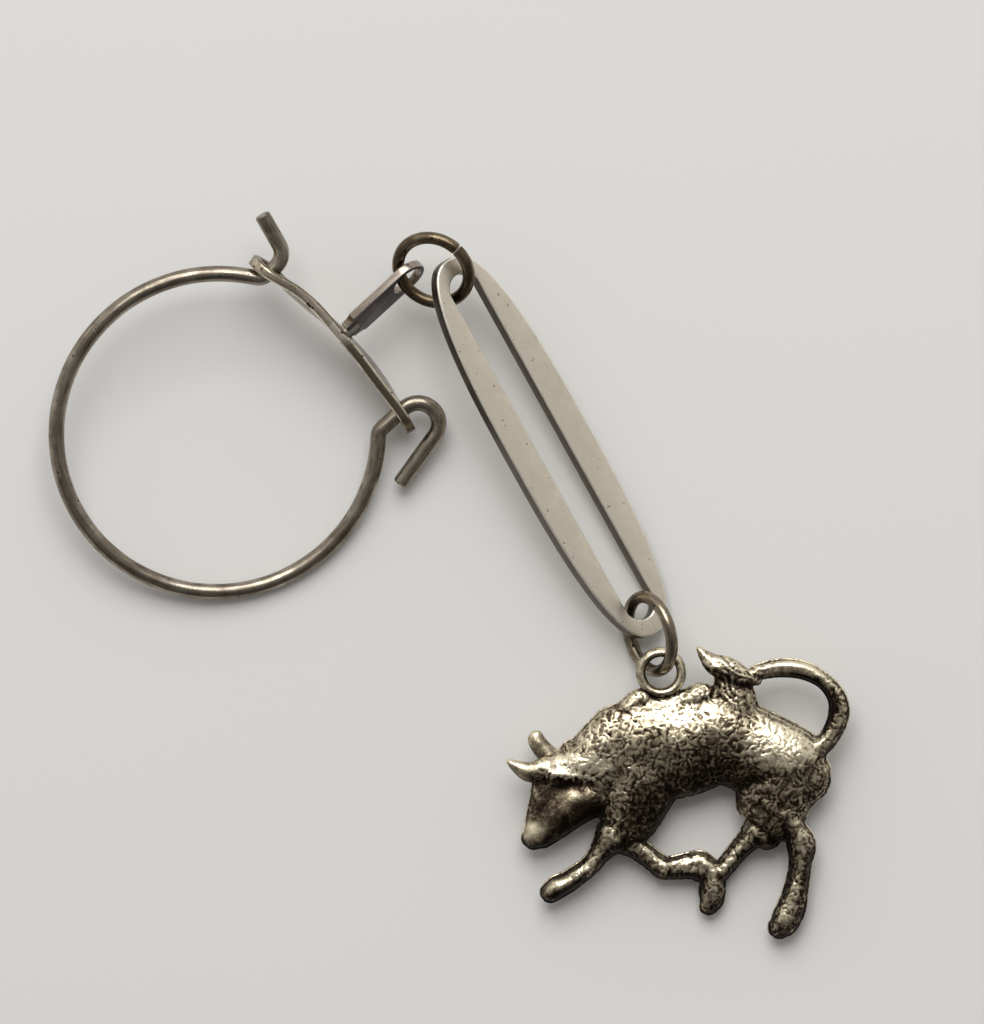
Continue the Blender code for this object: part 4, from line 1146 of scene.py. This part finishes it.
FLOOR_COLOUR = (0.74, 0.73, 0.71)
FLOOR_ROUGHNESS = 0.9
FLOOR_HALF_SIZE = 2
ROOM_COLOUR = (1, 0.985, 0.96)
# How bright the room is from the horizon up, and on the far and near side of the key lamp
ROOM_LEVELS = ((0.0, 0.70), (0.16, 0.68), (0.6, 0.54), (1.0, 0.37))
KEY_SIDE = (-0.15, 0.99, 0)
SIDE_REACH = 0.8
SIDE_LEVELS = (0.20, 1.45)
EVEN_BELOW = 0.14
KEY_PLACE = (-0.04, 0.490, 0.63)
KEY_SIZE = 0.60
KEY_POWER = 4.7
CAMERA_DISTANCE = 1.5
CAMERA_AIM = Vector((0.00388, 0.00582, 0.003))
VIEW_HEIGHT = 0.09309
SENSOR = 36


def build_stage():
    bm = bmesh.new()
    bmesh.ops.create_grid(bm, x_segments=1, y_segments=1, size=FLOOR_HALF_SIZE)
    floor = new_object("studio_floor", bm, Matrix())
    mat = bpy.data.materials.new("pale_floor")
    mat.use_nodes = True
    shader = mat.node_tree.nodes["Principled BSDF"]
    shader.inputs["Base Color"].default_value = (*FLOOR_COLOUR, 1)
    shader.inputs["Roughness"].default_value = FLOOR_ROUGHNESS
    floor.data.materials.append(mat)


def build_world():
    """A room that is pale at the horizon, dimmer overhead and brightest on the key lamp's side."""
    world = bpy.data.worlds.new("studio")
    world.use_nodes = True
    nodes = Nodes(world.node_tree)
    coords = nodes.add("ShaderNodeTexCoord").outputs["Generated"]
    split = nodes.add("ShaderNodeSeparateXYZ")
    nodes.link(coords, split.inputs["Vector"])
    height = split.outputs["Z"]
    lift = nodes.ramp(height, [(at, (level,) * 3) for at, level in ROOM_LEVELS])
    towards = nodes.add("ShaderNodeVectorMath", operation='DOT_PRODUCT')
    nodes.link(coords, towards.inputs[0])
    towards.inputs[1].default_value = KEY_SIDE
    side = nodes.range(towards.outputs["Value"], -SIDE_REACH, SIDE_REACH, *SIDE_LEVELS)
    blend = nodes.add("ShaderNodeMix", data_type='FLOAT')
    nodes.link(nodes.range(height, 0, EVEN_BELOW, 0, 1), blend.inputs["Factor"])
    blend.inputs["A"].default_value = 1
    nodes.link(side, blend.inputs["B"])
    background = world.node_tree.nodes["Background"]
    nodes.link(nodes.math('MULTIPLY', lift, blend.outputs["Result"]),
               background.inputs["Strength"])
    background.inputs["Color"].default_value = (*ROOM_COLOUR, 1)
    bpy.context.scene.world = world


def build_lamp_and_camera():
    data = bpy.data.lights.new("key", 'AREA')
    data.shape = 'SQUARE'
    data.size = KEY_SIZE
    data.energy = KEY_POWER
    lamp = link_object("key", data)
    lamp.location = KEY_PLACE
    lamp.rotation_euler = (-Vector(KEY_PLACE)).to_track_quat('-Z', 'Y').to_euler()

    data = bpy.data.cameras.new("camera")
    camera = link_object("camera", data)
    data.sensor_width = SENSOR
    data.lens = SENSOR * CAMERA_DISTANCE / VIEW_HEIGHT
    camera.location = CAMERA_AIM + UP * CAMERA_DISTANCE
    camera.rotation_euler = (0, 0, 0)
    bpy.context.scene.camera = camera
    bpy.context.scene.view_settings.view_transform = 'Standard'


def main():
    metals = {name: drawn_metal(name, *look) for name, look in DRAWN_METALS.items()}
    metals["antique_pewter_cast"] = antique_casting("antique_pewter_cast")
    for piece, (node, slot, metal) in zip(build_pieces(), LOOKS):
        piece.data.materials.clear()
        piece.data.materials.append(metals[metal])
        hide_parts(node)
        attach(piece, node)
    build_stage()
    build_world()
    build_lamp_and_camera()


main()
